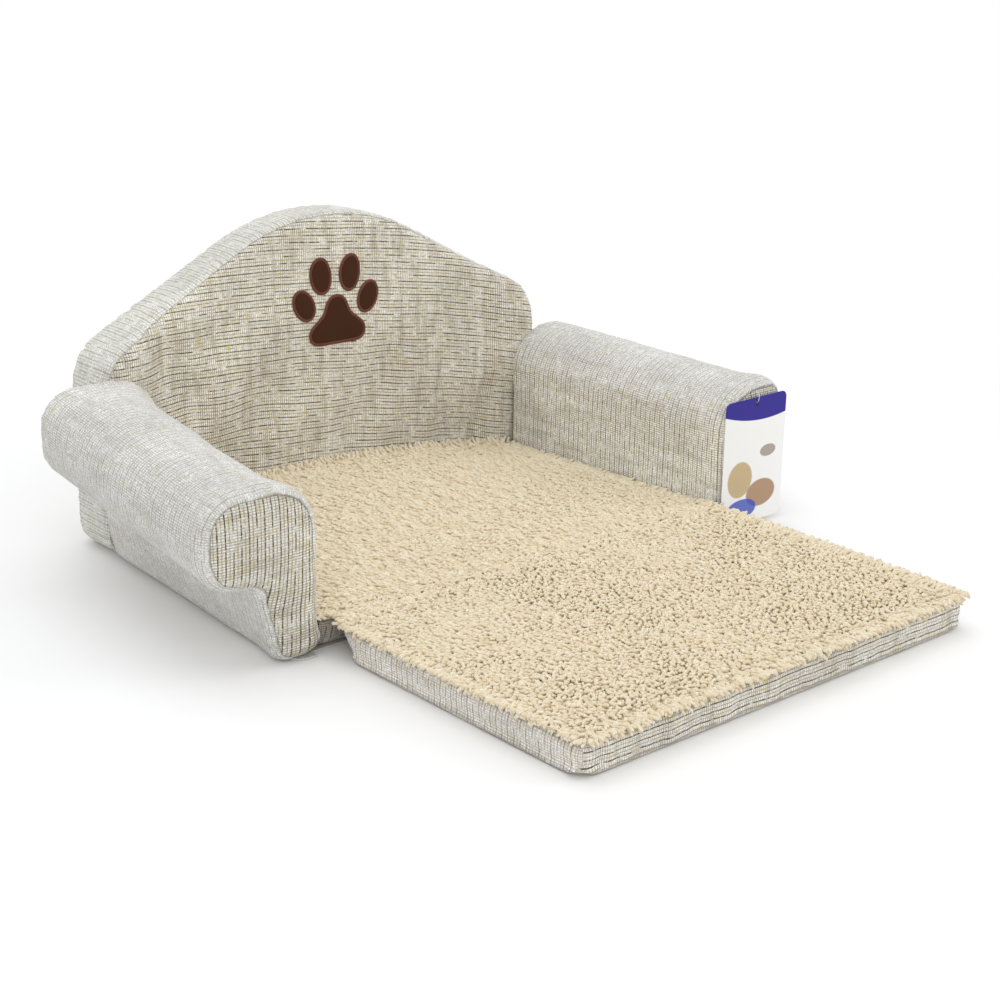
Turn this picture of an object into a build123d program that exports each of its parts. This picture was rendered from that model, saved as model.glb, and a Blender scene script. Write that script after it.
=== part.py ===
from build123d import *
from math import atan2, degrees
import os

os.makedirs("parts", exist_ok=True)

# Fold-out pet sofa bed: a camel-back cushion, two rolled arms and a seat panel, with a second
# panel that lies flat on the floor in front and folds back over the seat about the pile's
# crease. Millimetres, +Z up, +Y towards the back. The origin is on the floor, midway between
# the crease and the face of the back cushion.

# Cloth and seams
FABRIC = 2.0            # quilted tweed cover
SHEET = 1.5             # non-slip underside sheet
SEAM = 0.3              # space left between pieces that are sewn together
OVERRUN = 20.0          # how far a cutting shape reaches past what it cuts

# The two flat cushions
BAND_HEIGHT = 32.0      # floor to the top of the tweed side band
PILE = 7.0              # pile above the side band
PANEL_LENGTH = 324.0    # crease to the far edge of the fold-out panel
PANEL_HALF = 250.0      # half width of the fold-out panel at the crease
PANEL_TAPER = 3.0       # how much narrower each side is at the far edge
PANEL_CORNER = 24.0     # corner radius of the far edge
CREASE_CORNER = 9.0     # corner radius beside the crease
SEAT_SIDE_GAP = 1.2     # seat panel to the arms
SEAT_REAR_GAP = 1.5     # seat panel to the face of the back
BAND_DRAW = 7.0         # how far the band is drawn in at the underside
PILE_DRAW = 30.0        # width over which the pile rises from its edge to its crown
PILE_CREASE_DRAW = 0.6  # the same beside the crease
PANEL_GAP_LOW = 30.0    # crease to the fold-out panel at the floor
SEAT_GAP_LOW = 14.0     # crease to the seat panel at the floor
GAP_HIGH = 4.0          # crease to either panel at the top of the band
BAND_SHARES = ((0.0, 1.0), (0.24, 0.15), (0.72, 0.05), (1.0, 0.55))
PILE_SHARES = ((0.0, 0.05), (0.45, 0.0), (0.86, 0.22), (1.0, 1.0))

# Crease
HINGE_RISE = 0.5        # hinge line above the crown of the pile
BEAD_RADIUS = 2.5       # rolled hem along the hinge line
HEM_WEB = 1.2           # thickness of the hem's web and flange
HEM_FLANGE = 22.0       # depth of the flange sewn under the seat's pile

# Arms
ARM_LENGTH = 329.3      # crease plane to the end of the arm
ARM_CLEARANCE = 12.0    # side of the fold-out panel to the arm's inner face, at the front
ARM_TOE_IN = 13.0       # how much closer to the middle the arms stand at the back cushion
ARM_HEIGHT = 166.0
ARM_NARROWING = 8.0     # how much narrower the arms are at the back cushion
ROLL_OUT = 114.0        # inner face to the outside of the roll, at the front
NOTCH_OUT = 57.0        # inner face to the crease under the roll, at the front
FOOT_OUT = 38.0         # inner face to the outer foot, at the front
FOOT_ROUND = 14.0
# Heights and rounds of the roll as shares of the arm's height
ROLL_UNDER_SHARE = 0.506
NOTCH_SHARE = 0.44
INNER_ROUND_SHARE = 0.29
ROLL_ROUND_SHARE = 0.223
UNDER_ROUND_SHARE = 0.217
NOTCH_ROUND_SHARE = 0.054
ARM_END_DRAW = 4.0      # how far the cover is gathered in at the front end
ARM_END_LENGTH = 14.0   # length of that gather

# Back cushion
BACK_THICKNESS = 72.0   # from the wings beside the arms to the rear face
BACK_HOLLOW = 12.0      # how far the face lies behind those wings
BACK_OVERLAP = 21.0     # how far the back reaches past the inner faces of the arms' fronts
BACK_SHOULDER = 203.0   # height at which the side would meet the slope, before rounding
BACK_PEAK = 352.0       # height at which the slopes would meet, before rounding
SHOULDER_ROUND = 56.0
PEAK_ROUND = 237.0
BACK_FOOT_ROUND = 20.0
WING_START = 3.0        # arm's inner face at the back to the start of the wing
HOLLOW_WIDTH = 32.0     # width over which the face falls back from the wing
WING_ROUND = 16.0
HOLLOW_ROUND = 40.0
BACK_EDGE_DRAW = 9.0    # rounding of the rear edge
BACK_EDGE_LENGTH = 12.0
BACK_EDGE_SHARES = ((0.0, 0.0), (0.62, 0.26), (1.0, 1.0))

# Paw badge on the face of the back
PAW_MIDDLE = 8.0        # offset of the badge to the right of the middle
PAW_HEIGHT = 178.0      # floor to the lower edge of the main pad
FELT = 1.2
PAD_WIDTH = 76.0
PAD_TALL = 53.0
PAD_SHARES = ((0.47, 0.0), (0.51, 0.30), (0.19, 0.64), (0.18, 1.0))
PAD_FOOT_ROUND = 9.0
PAD_LOBE_ROUND = 8.0
PAD_NECK_ROUND = 12.0
PAD_CROWN_ROUND = 12.5
INNER_TOE = (25.0, 38.0)
OUTER_TOE = (24.0, 34.0)
INNER_TOE_PLACE = (19.0, 76.0)
OUTER_TOE_PLACE = (42.0, 47.0)
INNER_TOE_LEAN = 7.0
OUTER_TOE_LEAN = 28.0
TOE_ROUND_SHARE = 0.4

# Zip low on the rear face
ZIP_LENGTH = 440.0
ZIP_HEIGHT = 44.0       # floor to the middle of the zip
TAPE_WIDTH = 15.0
TAPE = 1.0
COIL_WIDTH = 4.0
COIL = 1.6
SLIDER_LENGTH = 11.0
SLIDER_WIDTH = 8.0
SLIDER_WALL = 1.2
SLIDER_PLAY = 0.3
BAIL_TALL = 3.4
BAIL_WIDTH = 3.0
BAIL_WALL = 1.0
PULL_LENGTH = 24.0
PULL_WIDTH = 6.0
PULL = 1.2
STOP_LENGTH = 4.0

# Swing tag on the right arm
TAG_WIDTH = 94.0
TAG_TALL = 138.0
TAG_CARD = 0.8
TAG_CORNER = 7.0
TAG_HOLE = 2.5
TAG_HOLE_DROP = 7.0     # top edge of the card to the middle of its hole
TAG_OUT = 40.0          # arm's inner face to the middle of the tag
TAG_DROP = 22.0         # top of the arm to the top of the tag
TAG_STAND_OFF = 4.0     # arm's front end to the card
LOOP_WIRE = 0.7
LOOP_BAR = 5.0          # length of the bar that holds the loop at the arm's seam
LOOP_BAR_RADIUS = 1.0
LOOP_RISE = 11.0        # card's hole to the point where the loop enters the arm
LOOP_SHOULDER = 3.5     # drop from that point to the front of the loop
LOOP_SLACK = 1.6        # room between the card and the front of the loop

# Worked out
ARM_INNER = PANEL_HALF + ARM_CLEARANCE
ARM_INNER_REAR = ARM_INNER - ARM_TOE_IN
BACK_HALF = ARM_INNER + BACK_OVERLAP
WING_EDGE = ARM_INNER_REAR - WING_START
HOLLOW_EDGE = WING_EDGE - HOLLOW_WIDTH
TAG_MIDDLE = ARM_INNER + TAG_OUT
TAG_TOP = ARM_HEIGHT - TAG_DROP
BACK_FACE = ARM_LENGTH + SEAM + BACK_HOLLOW
FOLD_Y = -BACK_FACE / 2
ARM_REAR_Y = FOLD_Y + ARM_LENGTH
GATHER_Y = FOLD_Y + FABRIC + SEAM + ARM_END_LENGTH
WING_Y = ARM_REAR_Y + SEAM
FACE_Y = WING_Y + BACK_HOLLOW
BACK_REAR_Y = WING_Y + BACK_THICKNESS
PILE_TOP = BAND_HEIGHT + PILE
HINGE_Z = PILE_TOP + HINGE_RISE
SKIRT = SHEET + SEAM
PILE_BASE = BAND_HEIGHT + SEAM


def rounded(points, radii):
    """Face inside a closed outline with one radius for each corner."""
    return make_face(FilletPolyline(points, radius=radii, close=True))


def drawn_in(points, radii, distance):
    """Face inside an anticlockwise outline with rounded corners, all drawn in by distance."""
    corners = [Vector(across, up) for across, up in points]
    arcs = []
    for index, corner in enumerate(corners):
        before = (corner - corners[index - 1]).normalized()
        after = (corners[(index + 1) % len(corners)] - corner).normalized()
        turn = degrees(atan2(before.cross(after).Z, before.dot(after)))
        side = 1 if turn > 0 else -1
        inward = Vector(-before.Y - after.Y, before.X + after.X) / (1 + before.dot(after))
        middle = corner + inward * (side * radii[index])
        start = degrees(atan2(before.Y, before.X)) - 90 * side
        arcs.append(CenterArc(middle, radii[index] - side * distance, start, turn))
    edges = []
    for arc, following in zip(arcs, arcs[1:] + arcs[:1]):
        edges += [arc, Line(arc @ 1, following @ 0)]
    return make_face(Wire(edges))


def upright(y):
    """Plane across the bed at y, drawn as X to the right and Z up."""
    return Plane(origin=(0, y, 0), x_dir=(1, 0, 0), z_dir=(0, -1, 0))


def level(z):
    return Plane(origin=(0, 0, z), x_dir=(1, 0, 0), z_dir=(0, 0, 1))


def block(x_low, x_high, y_low, y_high, z_low, z_high):
    size = Box(x_high - x_low, y_high - y_low, z_high - z_low)
    return Pos((x_low + x_high) / 2, (y_low + y_high) / 2, (z_low + z_high) / 2) * size


def mirrored(solid):
    return mirror(solid, about=Plane.YZ)


def save(name, solid):
    solid.label = name
    export_step(solid, "parts/" + name + ".step")
    print(f"{name:24s} {solid.volume / 1000:10.2f} cm3")


# Flat cushions

def panel_outline(inset, gap):
    """Fold-out panel seen from above: far edge in front, crease edge behind."""
    far = FOLD_Y - PANEL_LENGTH + inset
    near = FOLD_Y - gap
    half_far = PANEL_HALF - PANEL_TAPER - inset
    half = PANEL_HALF - inset
    points = [(-half_far, far), (half_far, far), (half, near), (-half, near)]
    return rounded(points, [PANEL_CORNER, PANEL_CORNER, CREASE_CORNER, CREASE_CORNER])


def seat_outline(inset, gap):
    """Seat panel seen from above: crease edge in front, rear edge along the hollow back."""
    near = FOLD_Y + gap
    wing = WING_Y - SEAT_REAR_GAP - inset
    face = FACE_Y - SEAT_REAR_GAP - inset
    half = ARM_INNER - SEAT_SIDE_GAP - inset
    half_rear = ARM_INNER_REAR - SEAT_SIDE_GAP - inset
    hollow = HOLLOW_EDGE - inset
    points = [(-half, near), (half, near), (half_rear, wing),
              (hollow, face), (-hollow, face), (-half_rear, wing)]
    radii = [CREASE_CORNER, CREASE_CORNER, CREASE_CORNER,
             HOLLOW_ROUND, HOLLOW_ROUND, CREASE_CORNER]
    return rounded(points, radii)


def band(outline, gap_low, inset, overrun):
    """Cushion body between the underside sheet and the pile, fullest at half height."""
    height = BAND_HEIGHT - SKIRT
    slices = []
    for height_share, draw_share in BAND_SHARES:
        z = SKIRT - overrun + (height + 2 * overrun) * height_share
        gap = gap_low + (GAP_HIGH - gap_low) * height_share + inset
        slices.append(level(z) * outline(BAND_DRAW * draw_share + inset, gap))
    return loft(slices, ruled=True)


def boxing(outline, gap_low):
    return band(outline, gap_low, 0, 0) - band(outline, gap_low, FABRIC, SEAM)


def cushion_foam(outline, gap_low):
    return band(outline, gap_low, FABRIC + SEAM, 0)


def pile(outline):
    """Pile layer with its crown, rounded over at the edges."""
    slices = []
    for height_share, draw_share in PILE_SHARES:
        z = PILE_BASE + (PILE_TOP - PILE_BASE) * height_share
        gap = BEAD_RADIUS + SEAM + PILE_CREASE_DRAW * draw_share
        slices.append(level(z) * outline(PILE_DRAW * draw_share, gap))
    return loft(slices, ruled=True)


def fold_hem():
    """Rolled hem on the hinge line, with the flange that is sewn under the seat's pile."""
    length = 2 * (PANEL_HALF - CREASE_CORNER)
    bead = Pos(0, FOLD_Y, HINGE_Z) * Rot(0, 90, 0) * Cylinder(BEAD_RADIUS, length)
    half = length / 2
    web = block(-half, half, FOLD_Y - HEM_WEB / 2, FOLD_Y + HEM_WEB / 2, PILE_BASE, HINGE_Z)
    flange = block(-half, half, FOLD_Y, FOLD_Y + HEM_FLANGE, PILE_BASE, PILE_BASE + HEM_WEB)
    return bead + web + flange


def flange_room():
    half = PANEL_HALF - CREASE_CORNER + SEAM
    return block(-half, half, FOLD_Y, FOLD_Y + HEM_FLANGE + SEAM,
                 PILE_BASE - OVERRUN, PILE_BASE + HEM_WEB + SEAM)


# Arms

def arm_outline(y, shape_y, inset):
    """Section that the right arm has at shape_y, set at y and pulled in by inset all round."""
    share = (shape_y - FOLD_Y) / ARM_LENGTH
    inner = ARM_INNER - ARM_TOE_IN * share
    outward = inner - ARM_NARROWING * share
    roll = outward + ROLL_OUT
    notch = outward + NOTCH_OUT
    foot = outward + FOOT_OUT
    points = [(inner, SKIRT), (foot, SKIRT), (notch, ARM_HEIGHT * NOTCH_SHARE),
              (roll, ARM_HEIGHT * ROLL_UNDER_SHARE), (roll, ARM_HEIGHT), (inner, ARM_HEIGHT)]
    radii = [FOOT_ROUND, FOOT_ROUND, ARM_HEIGHT * NOTCH_ROUND_SHARE,
             ARM_HEIGHT * UNDER_ROUND_SHARE, ARM_HEIGHT * ROLL_ROUND_SHARE,
             ARM_HEIGHT * INNER_ROUND_SHARE]
    return upright(y) * drawn_in(points, radii, inset)


def arm_body(inset, overrun):
    """Arm between its two end panels, gathered in at the front."""
    start = FOLD_Y + FABRIC + SEAM - overrun
    stop = ARM_REAR_Y - FABRIC - SEAM + overrun
    sections = [arm_outline(start, GATHER_Y, ARM_END_DRAW + inset),
                arm_outline(GATHER_Y, GATHER_Y, inset),
                arm_outline(stop, stop, inset)]
    return loft(sections, ruled=True)


def arm_wrap():
    return arm_body(0, 0) - arm_body(FABRIC, SEAM)


def arm_foam():
    return arm_body(FABRIC + SEAM, 0)


def arm_front():
    """Front end panel, a little smaller outside than where it meets the cover."""
    outside = arm_outline(FOLD_Y, GATHER_Y, ARM_END_DRAW + FABRIC)
    inside = arm_outline(FOLD_Y + FABRIC, GATHER_Y, ARM_END_DRAW)
    return loft([outside, inside], ruled=True)


def arm_rear():
    return extrude(arm_outline(ARM_REAR_Y, ARM_REAR_Y, 0), amount=FABRIC)


# Back cushion

def back_outline(y, inset):
    """Camel-back outline at y, pulled in by inset all round."""
    points = [(-BACK_HALF, SKIRT), (BACK_HALF, SKIRT), (BACK_HALF, BACK_SHOULDER),
              (0, BACK_PEAK), (-BACK_HALF, BACK_SHOULDER)]
    radii = [BACK_FOOT_ROUND, BACK_FOOT_ROUND, SHOULDER_ROUND, PEAK_ROUND, SHOULDER_ROUND]
    return upright(y) * drawn_in(points, radii, inset)


def back_body(inset):
    """Whole back cushion with a flat front, rounded over at its rear edge."""
    stations = [(WING_Y, 0)]
    for length_share, draw_share in BACK_EDGE_SHARES:
        y = BACK_REAR_Y - BACK_EDGE_LENGTH * (1 - length_share)
        stations.append((y, BACK_EDGE_DRAW * draw_share))
    return loft([back_outline(y, inset + draw) for y, draw in stations], ruled=True)


def face_room(depth):
    """Everything in front of a surface that lies depth behind the face of the back."""
    far = BACK_HALF + OVERRUN
    wing = WING_Y + depth
    face = FACE_Y + depth
    front = WING_Y - OVERRUN
    points = [(-far, front), (far, front), (far, wing), (WING_EDGE, wing), (HOLLOW_EDGE, face),
              (-HOLLOW_EDGE, face), (-WING_EDGE, wing), (-far, wing)]
    radii = [0, 0, 0, WING_ROUND, HOLLOW_ROUND, HOLLOW_ROUND, WING_ROUND, 0]
    plan = rounded(points, radii)
    return extrude(level(-OVERRUN) * plan, amount=BACK_PEAK + 2 * OVERRUN)


def rear_room(depth):
    """Everything behind a plane that lies depth in front of the rear face."""
    far = BACK_HALF + OVERRUN
    return block(-far, far, BACK_REAR_Y - depth, BACK_REAR_Y + OVERRUN,
                 -OVERRUN, BACK_PEAK + OVERRUN)


def back_face():
    return (back_body(0) & face_room(FABRIC)) - face_room(0)


def back_rear():
    panel = back_body(0) & rear_room(FABRIC)
    return panel - zip_room()


def back_boxing():
    shell = back_body(0) - face_room(FABRIC + SEAM) - rear_room(FABRIC + SEAM)
    return shell - back_body(FABRIC)


def back_foam():
    core = back_body(FABRIC + SEAM) - face_room(FABRIC + SEAM)
    return core - rear_room(FABRIC + SEAM)


# Zip

def zip_room():
    half = ZIP_LENGTH / 2 + SEAM
    tall = TAPE_WIDTH / 2 + SEAM
    return block(-half, half, BACK_REAR_Y - FABRIC - OVERRUN, BACK_REAR_Y + OVERRUN,
                 ZIP_HEIGHT - tall, ZIP_HEIGHT + tall)


TAPE_Y = BACK_REAR_Y - FABRIC + TAPE
COIL_Y = TAPE_Y + COIL


def zip_tape():
    half = ZIP_LENGTH / 2
    tape = block(-half, half, TAPE_Y - TAPE, TAPE_Y,
                 ZIP_HEIGHT - TAPE_WIDTH / 2, ZIP_HEIGHT + TAPE_WIDTH / 2)
    coil = block(-half + STOP_LENGTH, half - STOP_LENGTH, TAPE_Y, COIL_Y,
                 ZIP_HEIGHT - COIL_WIDTH / 2, ZIP_HEIGHT + COIL_WIDTH / 2)
    outer_edges = coil.edges().filter_by(Axis.X).group_by(Axis.Y)[-1]
    coil = fillet(outer_edges, COIL / 3)
    zipper = tape + coil
    for side in (-1, 1):
        end = side * (half - STOP_LENGTH / 2)
        zipper += block(end - STOP_LENGTH / 2, end + STOP_LENGTH / 2, TAPE_Y, COIL_Y + SLIDER_WALL,
                        ZIP_HEIGHT - SLIDER_WIDTH / 2, ZIP_HEIGHT + SLIDER_WIDTH / 2)
    return zipper


SLIDER_X = -ZIP_LENGTH / 2 + STOP_LENGTH + SLIDER_LENGTH / 2 + SLIDER_PLAY
SLIDER_OUT = COIL_Y + SLIDER_PLAY + SLIDER_WALL
PULL_PIVOT_Y = SLIDER_OUT + BAIL_TALL / 2 - BAIL_WALL / 2


def zip_slider():
    """Saddle over the coil, with the bail that carries the pull."""
    low = TAPE_Y + SLIDER_PLAY
    half_long = SLIDER_LENGTH / 2
    half_wide = SLIDER_WIDTH / 2
    saddle = block(SLIDER_X - half_long, SLIDER_X + half_long, low, SLIDER_OUT,
                   ZIP_HEIGHT - half_wide, ZIP_HEIGHT + half_wide)
    saddle = fillet(saddle.edges().filter_by(Axis.Y), half_wide / 2)
    groove = COIL_WIDTH / 2 + SLIDER_PLAY
    saddle -= block(SLIDER_X - SLIDER_LENGTH, SLIDER_X + SLIDER_LENGTH, low - SLIDER_WALL,
                    COIL_Y + SLIDER_PLAY, ZIP_HEIGHT - groove, ZIP_HEIGHT + groove)
    bail = block(SLIDER_X - BAIL_WIDTH / 2, SLIDER_X + BAIL_WIDTH / 2, SLIDER_OUT - SLIDER_PLAY,
                 SLIDER_OUT + BAIL_TALL, ZIP_HEIGHT - half_wide + BAIL_WALL,
                 ZIP_HEIGHT + half_wide - BAIL_WALL)
    bail = fillet(bail.edges().filter_by(Axis.X).group_by(Axis.Y)[-1], BAIL_WALL)
    bail -= block(SLIDER_X - BAIL_WIDTH, SLIDER_X + BAIL_WIDTH, SLIDER_OUT,
                  SLIDER_OUT + BAIL_TALL - BAIL_WALL, ZIP_HEIGHT - half_wide + 2 * BAIL_WALL,
                  ZIP_HEIGHT + half_wide - 2 * BAIL_WALL)
    return saddle + bail


def zip_pull():
    """Flat pull that hangs from a round bar through the bail."""
    bar_radius = PULL / 2
    bar = Pos(SLIDER_X, PULL_PIVOT_Y, ZIP_HEIGHT) * Rot(0, 90, 0)
    bar = bar * Cylinder(bar_radius, PULL_WIDTH)
    side = (PULL_WIDTH - BAIL_WIDTH) / 2 - SLIDER_PLAY
    drop = SLIDER_WIDTH / 2 + BAIL_WALL
    pull = bar
    for sign in (-1, 1):
        middle = SLIDER_X + sign * (PULL_WIDTH - side) / 2
        pull += block(middle - side / 2, middle + side / 2, PULL_PIVOT_Y - bar_radius,
                      PULL_PIVOT_Y + bar_radius, ZIP_HEIGHT - drop, ZIP_HEIGHT)
    tab = block(SLIDER_X - PULL_WIDTH / 2, SLIDER_X + PULL_WIDTH / 2, PULL_PIVOT_Y - bar_radius,
                PULL_PIVOT_Y + bar_radius, ZIP_HEIGHT - PULL_LENGTH, ZIP_HEIGHT - drop)
    tab = fillet(tab.edges().filter_by(Axis.Y).group_by(Axis.Z)[0], PULL_WIDTH / 3)
    return pull + tab


# Paw badge

def pad_sketch():
    """Main pad: one lobe above, two below, with hollow sides."""
    right = [(PAD_WIDTH * across, PAD_TALL * up) for across, up in PAD_SHARES]
    left = [(-x, z) for x, z in reversed(right)]
    radii = [PAD_FOOT_ROUND, PAD_LOBE_ROUND, PAD_NECK_ROUND, PAD_CROWN_ROUND]
    return drawn_in(right + left, radii + radii[::-1], 0)


def oval(width, tall, end_round):
    """Oval of four arcs that meet smoothly."""
    half = width / 2
    end_middle = tall / 2 - end_round
    side_round = (half ** 2 + end_middle ** 2 - end_round ** 2) / (width - 2 * end_round)
    side_middle = side_round - half
    angle = degrees(atan2(end_middle, side_middle))
    arcs = [CenterArc((-side_middle, 0), side_round, -angle, 2 * angle),
            CenterArc((0, end_middle), end_round, angle, 180 - 2 * angle),
            CenterArc((side_middle, 0), side_round, 180 - angle, 2 * angle),
            CenterArc((0, -end_middle), end_round, 180 + angle, 180 - 2 * angle)]
    return make_face(Wire(arcs))


def toe_sketch(size, place, lean, side):
    toe = oval(size[0], size[1], size[0] * TOE_ROUND_SHARE)
    return Pos(side * place[0], place[1]) * Rot(0, 0, -side * lean) * toe


def badge():
    """The pad and the four toes, left to right, sewn onto the face of the back."""
    shapes = [pad_sketch()]
    toes = [(OUTER_TOE, OUTER_TOE_PLACE, OUTER_TOE_LEAN, -1),
            (INNER_TOE, INNER_TOE_PLACE, INNER_TOE_LEAN, -1),
            (INNER_TOE, INNER_TOE_PLACE, INNER_TOE_LEAN, 1),
            (OUTER_TOE, OUTER_TOE_PLACE, OUTER_TOE_LEAN, 1)]
    for size, place, lean, side in toes:
        shapes.append(toe_sketch(size, place, lean, side))
    plane = upright(FACE_Y) * Pos(PAW_MIDDLE, PAW_HEIGHT)
    return [extrude(plane * shape, amount=FELT) for shape in shapes]


# Underside

def sofa_sheet():
    """Sheet under the seat, arms and back of the sofa, inside their rounded lower edges."""
    arm_front = FOLD_Y + ARM_END_DRAW
    seat_front = FOLD_Y + SEAT_GAP_LOW
    side_front = ARM_INNER + FOOT_OUT - FOOT_ROUND
    side_rear = ARM_INNER_REAR + FOOT_OUT - ARM_NARROWING - FOOT_ROUND
    rear = BACK_REAR_Y - BACK_EDGE_DRAW - FABRIC
    right = [(ARM_INNER, seat_front), (ARM_INNER, arm_front), (side_front, arm_front),
             (side_rear, rear)]
    left = [(-x, y) for x, y in reversed(right)]
    radii = [0, 0, FOOT_ROUND, FOOT_ROUND]
    return extrude(rounded(right + left, radii + radii[::-1]), amount=SHEET)


def panel_sheet():
    return extrude(panel_outline(BAND_DRAW, PANEL_GAP_LOW), amount=SHEET)


# Swing tag

TAG_BACK_Y = FOLD_Y - TAG_STAND_OFF
TAG_HOLE_Z = TAG_TOP - TAG_HOLE_DROP
LOOP_LOW_Z = TAG_HOLE_Z + TAG_HOLE - LOOP_WIRE - SEAM
LOOP_PIVOT_Y = FOLD_Y - LOOP_BAR_RADIUS - SEAM
LOOP_PIVOT_Z = LOOP_LOW_Z + LOOP_RISE
LOOP_FRONT_Y = TAG_BACK_Y - TAG_CARD - LOOP_WIRE - LOOP_SLACK


def swing_tag():
    card = RectangleRounded(TAG_WIDTH, TAG_TALL, TAG_CORNER)
    middle = Pos(TAG_MIDDLE, TAG_TOP - TAG_TALL / 2)
    hole = Pos(TAG_MIDDLE, TAG_HOLE_Z) * Circle(TAG_HOLE)
    return extrude(upright(TAG_BACK_Y) * (middle * card - hole), amount=TAG_CARD)


def tag_loop():
    """Plastic loop through the card's hole, with the bar at the arm's seam that it swings on."""
    plane = Plane(origin=(TAG_MIDDLE, 0, 0), x_dir=(0, 1, 0), z_dir=(1, 0, 0))
    points = [(LOOP_PIVOT_Y, LOOP_PIVOT_Z), (LOOP_PIVOT_Y, LOOP_LOW_Z),
              (LOOP_FRONT_Y, LOOP_LOW_Z), (LOOP_FRONT_Y, LOOP_PIVOT_Z - LOOP_SHOULDER)]
    path = plane * Polyline(points, close=True)
    start = path.edges()[0]
    section = Plane(origin=start @ 0.5, z_dir=start % 0) * RegularPolygon(LOOP_WIRE, 6)
    wire = sweep(section, path=path, transition=Transition.RIGHT)
    bar = Pos(TAG_MIDDLE, LOOP_PIVOT_Y, LOOP_PIVOT_Z) * Rot(0, 90, 0)
    return wire + bar * Cylinder(LOOP_BAR_RADIUS, LOOP_BAR)


# Sub-parts

seat_pile = pile(seat_outline) - flange_room()
arm_pieces = {"arm_foam": arm_foam(), "arm_wrap": arm_wrap(),
              "arm_front": arm_front(), "arm_rear": arm_rear()}

save("sofa_sheet", sofa_sheet())
save("seat_foam", cushion_foam(seat_outline, SEAT_GAP_LOW))
save("seat_boxing", boxing(seat_outline, SEAT_GAP_LOW))
save("seat_pile", seat_pile)
save("fold_hem", fold_hem())
save("panel_sheet", panel_sheet())
save("panel_foam", cushion_foam(panel_outline, PANEL_GAP_LOW))
save("panel_boxing", boxing(panel_outline, PANEL_GAP_LOW))
save("panel_pile", pile(panel_outline))
for name, piece in arm_pieces.items():
    save("right_" + name, piece)
    save("left_" + name, mirrored(piece))
save("back_foam", back_foam())
save("back_face", back_face())
save("back_boxing", back_boxing())
save("back_rear", back_rear())
felts = badge()
save("paw_pad", felts[0])
for number, felt in enumerate(felts[1:], start=1):
    save(f"paw_toe_{number}", felt)
save("zip_tape", zip_tape())
save("zip_slider", zip_slider())
save("zip_pull", zip_pull())
save("swing_tag", swing_tag())
save("tag_loop", tag_loop())

slide = ZIP_LENGTH - 2 * STOP_LENGTH - SLIDER_LENGTH - 2 * SLIDER_PLAY
print("fold line", [0, FOLD_Y, HINGE_Z])
print("tag pivot", [TAG_MIDDLE, LOOP_PIVOT_Y, LOOP_PIVOT_Z])
print("pull pivot", [SLIDER_X, PULL_PIVOT_Y, ZIP_HEIGHT], "slide", slide)
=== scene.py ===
import math

import bmesh
import bpy
import numpy as np
from mathutils import Matrix, Vector
from mathutils.bvhtree import BVHTree


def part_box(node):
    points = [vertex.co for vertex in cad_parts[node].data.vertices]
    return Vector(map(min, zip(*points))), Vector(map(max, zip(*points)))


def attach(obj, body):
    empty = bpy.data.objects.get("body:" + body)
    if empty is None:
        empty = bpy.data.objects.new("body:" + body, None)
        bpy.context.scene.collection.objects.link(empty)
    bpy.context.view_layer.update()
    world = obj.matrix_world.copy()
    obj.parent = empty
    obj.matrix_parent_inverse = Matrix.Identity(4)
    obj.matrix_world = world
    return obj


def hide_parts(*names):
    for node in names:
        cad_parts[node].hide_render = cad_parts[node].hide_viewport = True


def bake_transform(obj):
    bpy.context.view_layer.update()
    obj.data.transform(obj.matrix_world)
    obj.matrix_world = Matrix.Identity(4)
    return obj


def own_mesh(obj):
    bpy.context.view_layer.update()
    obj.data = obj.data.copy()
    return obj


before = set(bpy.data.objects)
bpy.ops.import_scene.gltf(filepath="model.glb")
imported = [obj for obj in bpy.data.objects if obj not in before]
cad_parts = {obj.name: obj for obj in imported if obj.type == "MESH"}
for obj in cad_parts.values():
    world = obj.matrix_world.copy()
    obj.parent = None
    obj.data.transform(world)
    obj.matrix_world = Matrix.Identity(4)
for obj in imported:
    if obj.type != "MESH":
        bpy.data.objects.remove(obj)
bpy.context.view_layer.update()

foldLine = -0.1708  # y of the crease between the two panels
backFace = 0.1708  # y of the flat part of the back's face
backRear = 0.2308
zipHeight = 0.044
armRun = 0.3293  # depth of the arms
rearEnd = 0.16  # depth from which an arm's rear end starts


def addObject(name, data):
    made = bpy.data.objects.new(name, data)
    bpy.context.scene.collection.objects.link(made)
    return made


# The view: the photograph's camera, soft light and a pale floor

viewLook = {"place": (-1.1646, -1.4402, 0.6847), "azimuth": -41.247, "elevation": 18.982,
            "roll": 0.934, "lens": 68.078, "floor": (0.90, 0.90, 0.90), "world": 0.76, "clear": (0.55, 1.1)}


def makeView(look):
    turn, rise, roll = (math.radians(look[k]) for k in ("azimuth", "elevation", "roll"))
    turned = Matrix.Rotation(turn, 4, "Z") @ Matrix.Rotation(math.pi / 2 - rise, 4, "X") @ Matrix.Rotation(roll, 4, "Z")
    camera = addObject("camera", bpy.data.cameras.new("camera"))
    camera.data.lens, camera.data.sensor_width, camera.data.clip_end = look["lens"], 36, 50
    camera.matrix_world = Matrix.Translation(look["place"]) @ turned
    bpy.context.scene.camera = camera


lightLook = {  # name: place, aimed at, size, watts, colour
    "overhead": ((-0.2, 0.1, 2.2), (0, 0, 0), 1.8, 13, (0.94, 0.97, 1.0)),
    "frontLeft": ((-1.5, -1.9, 1.5), (0, 0, 0.1), 1.5, 15, (1.0, 0.99, 0.97)),
    "frontRight": ((1.9, -1.5, 1.3), (0, 0, 0.1), 1.4, 12, (1.0, 0.99, 0.98)),
    "behind": ((0.4, 2.0, 1.5), (0, 0, 0.1), 1.6, 8, (0.97, 0.98, 1.0))}


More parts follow.
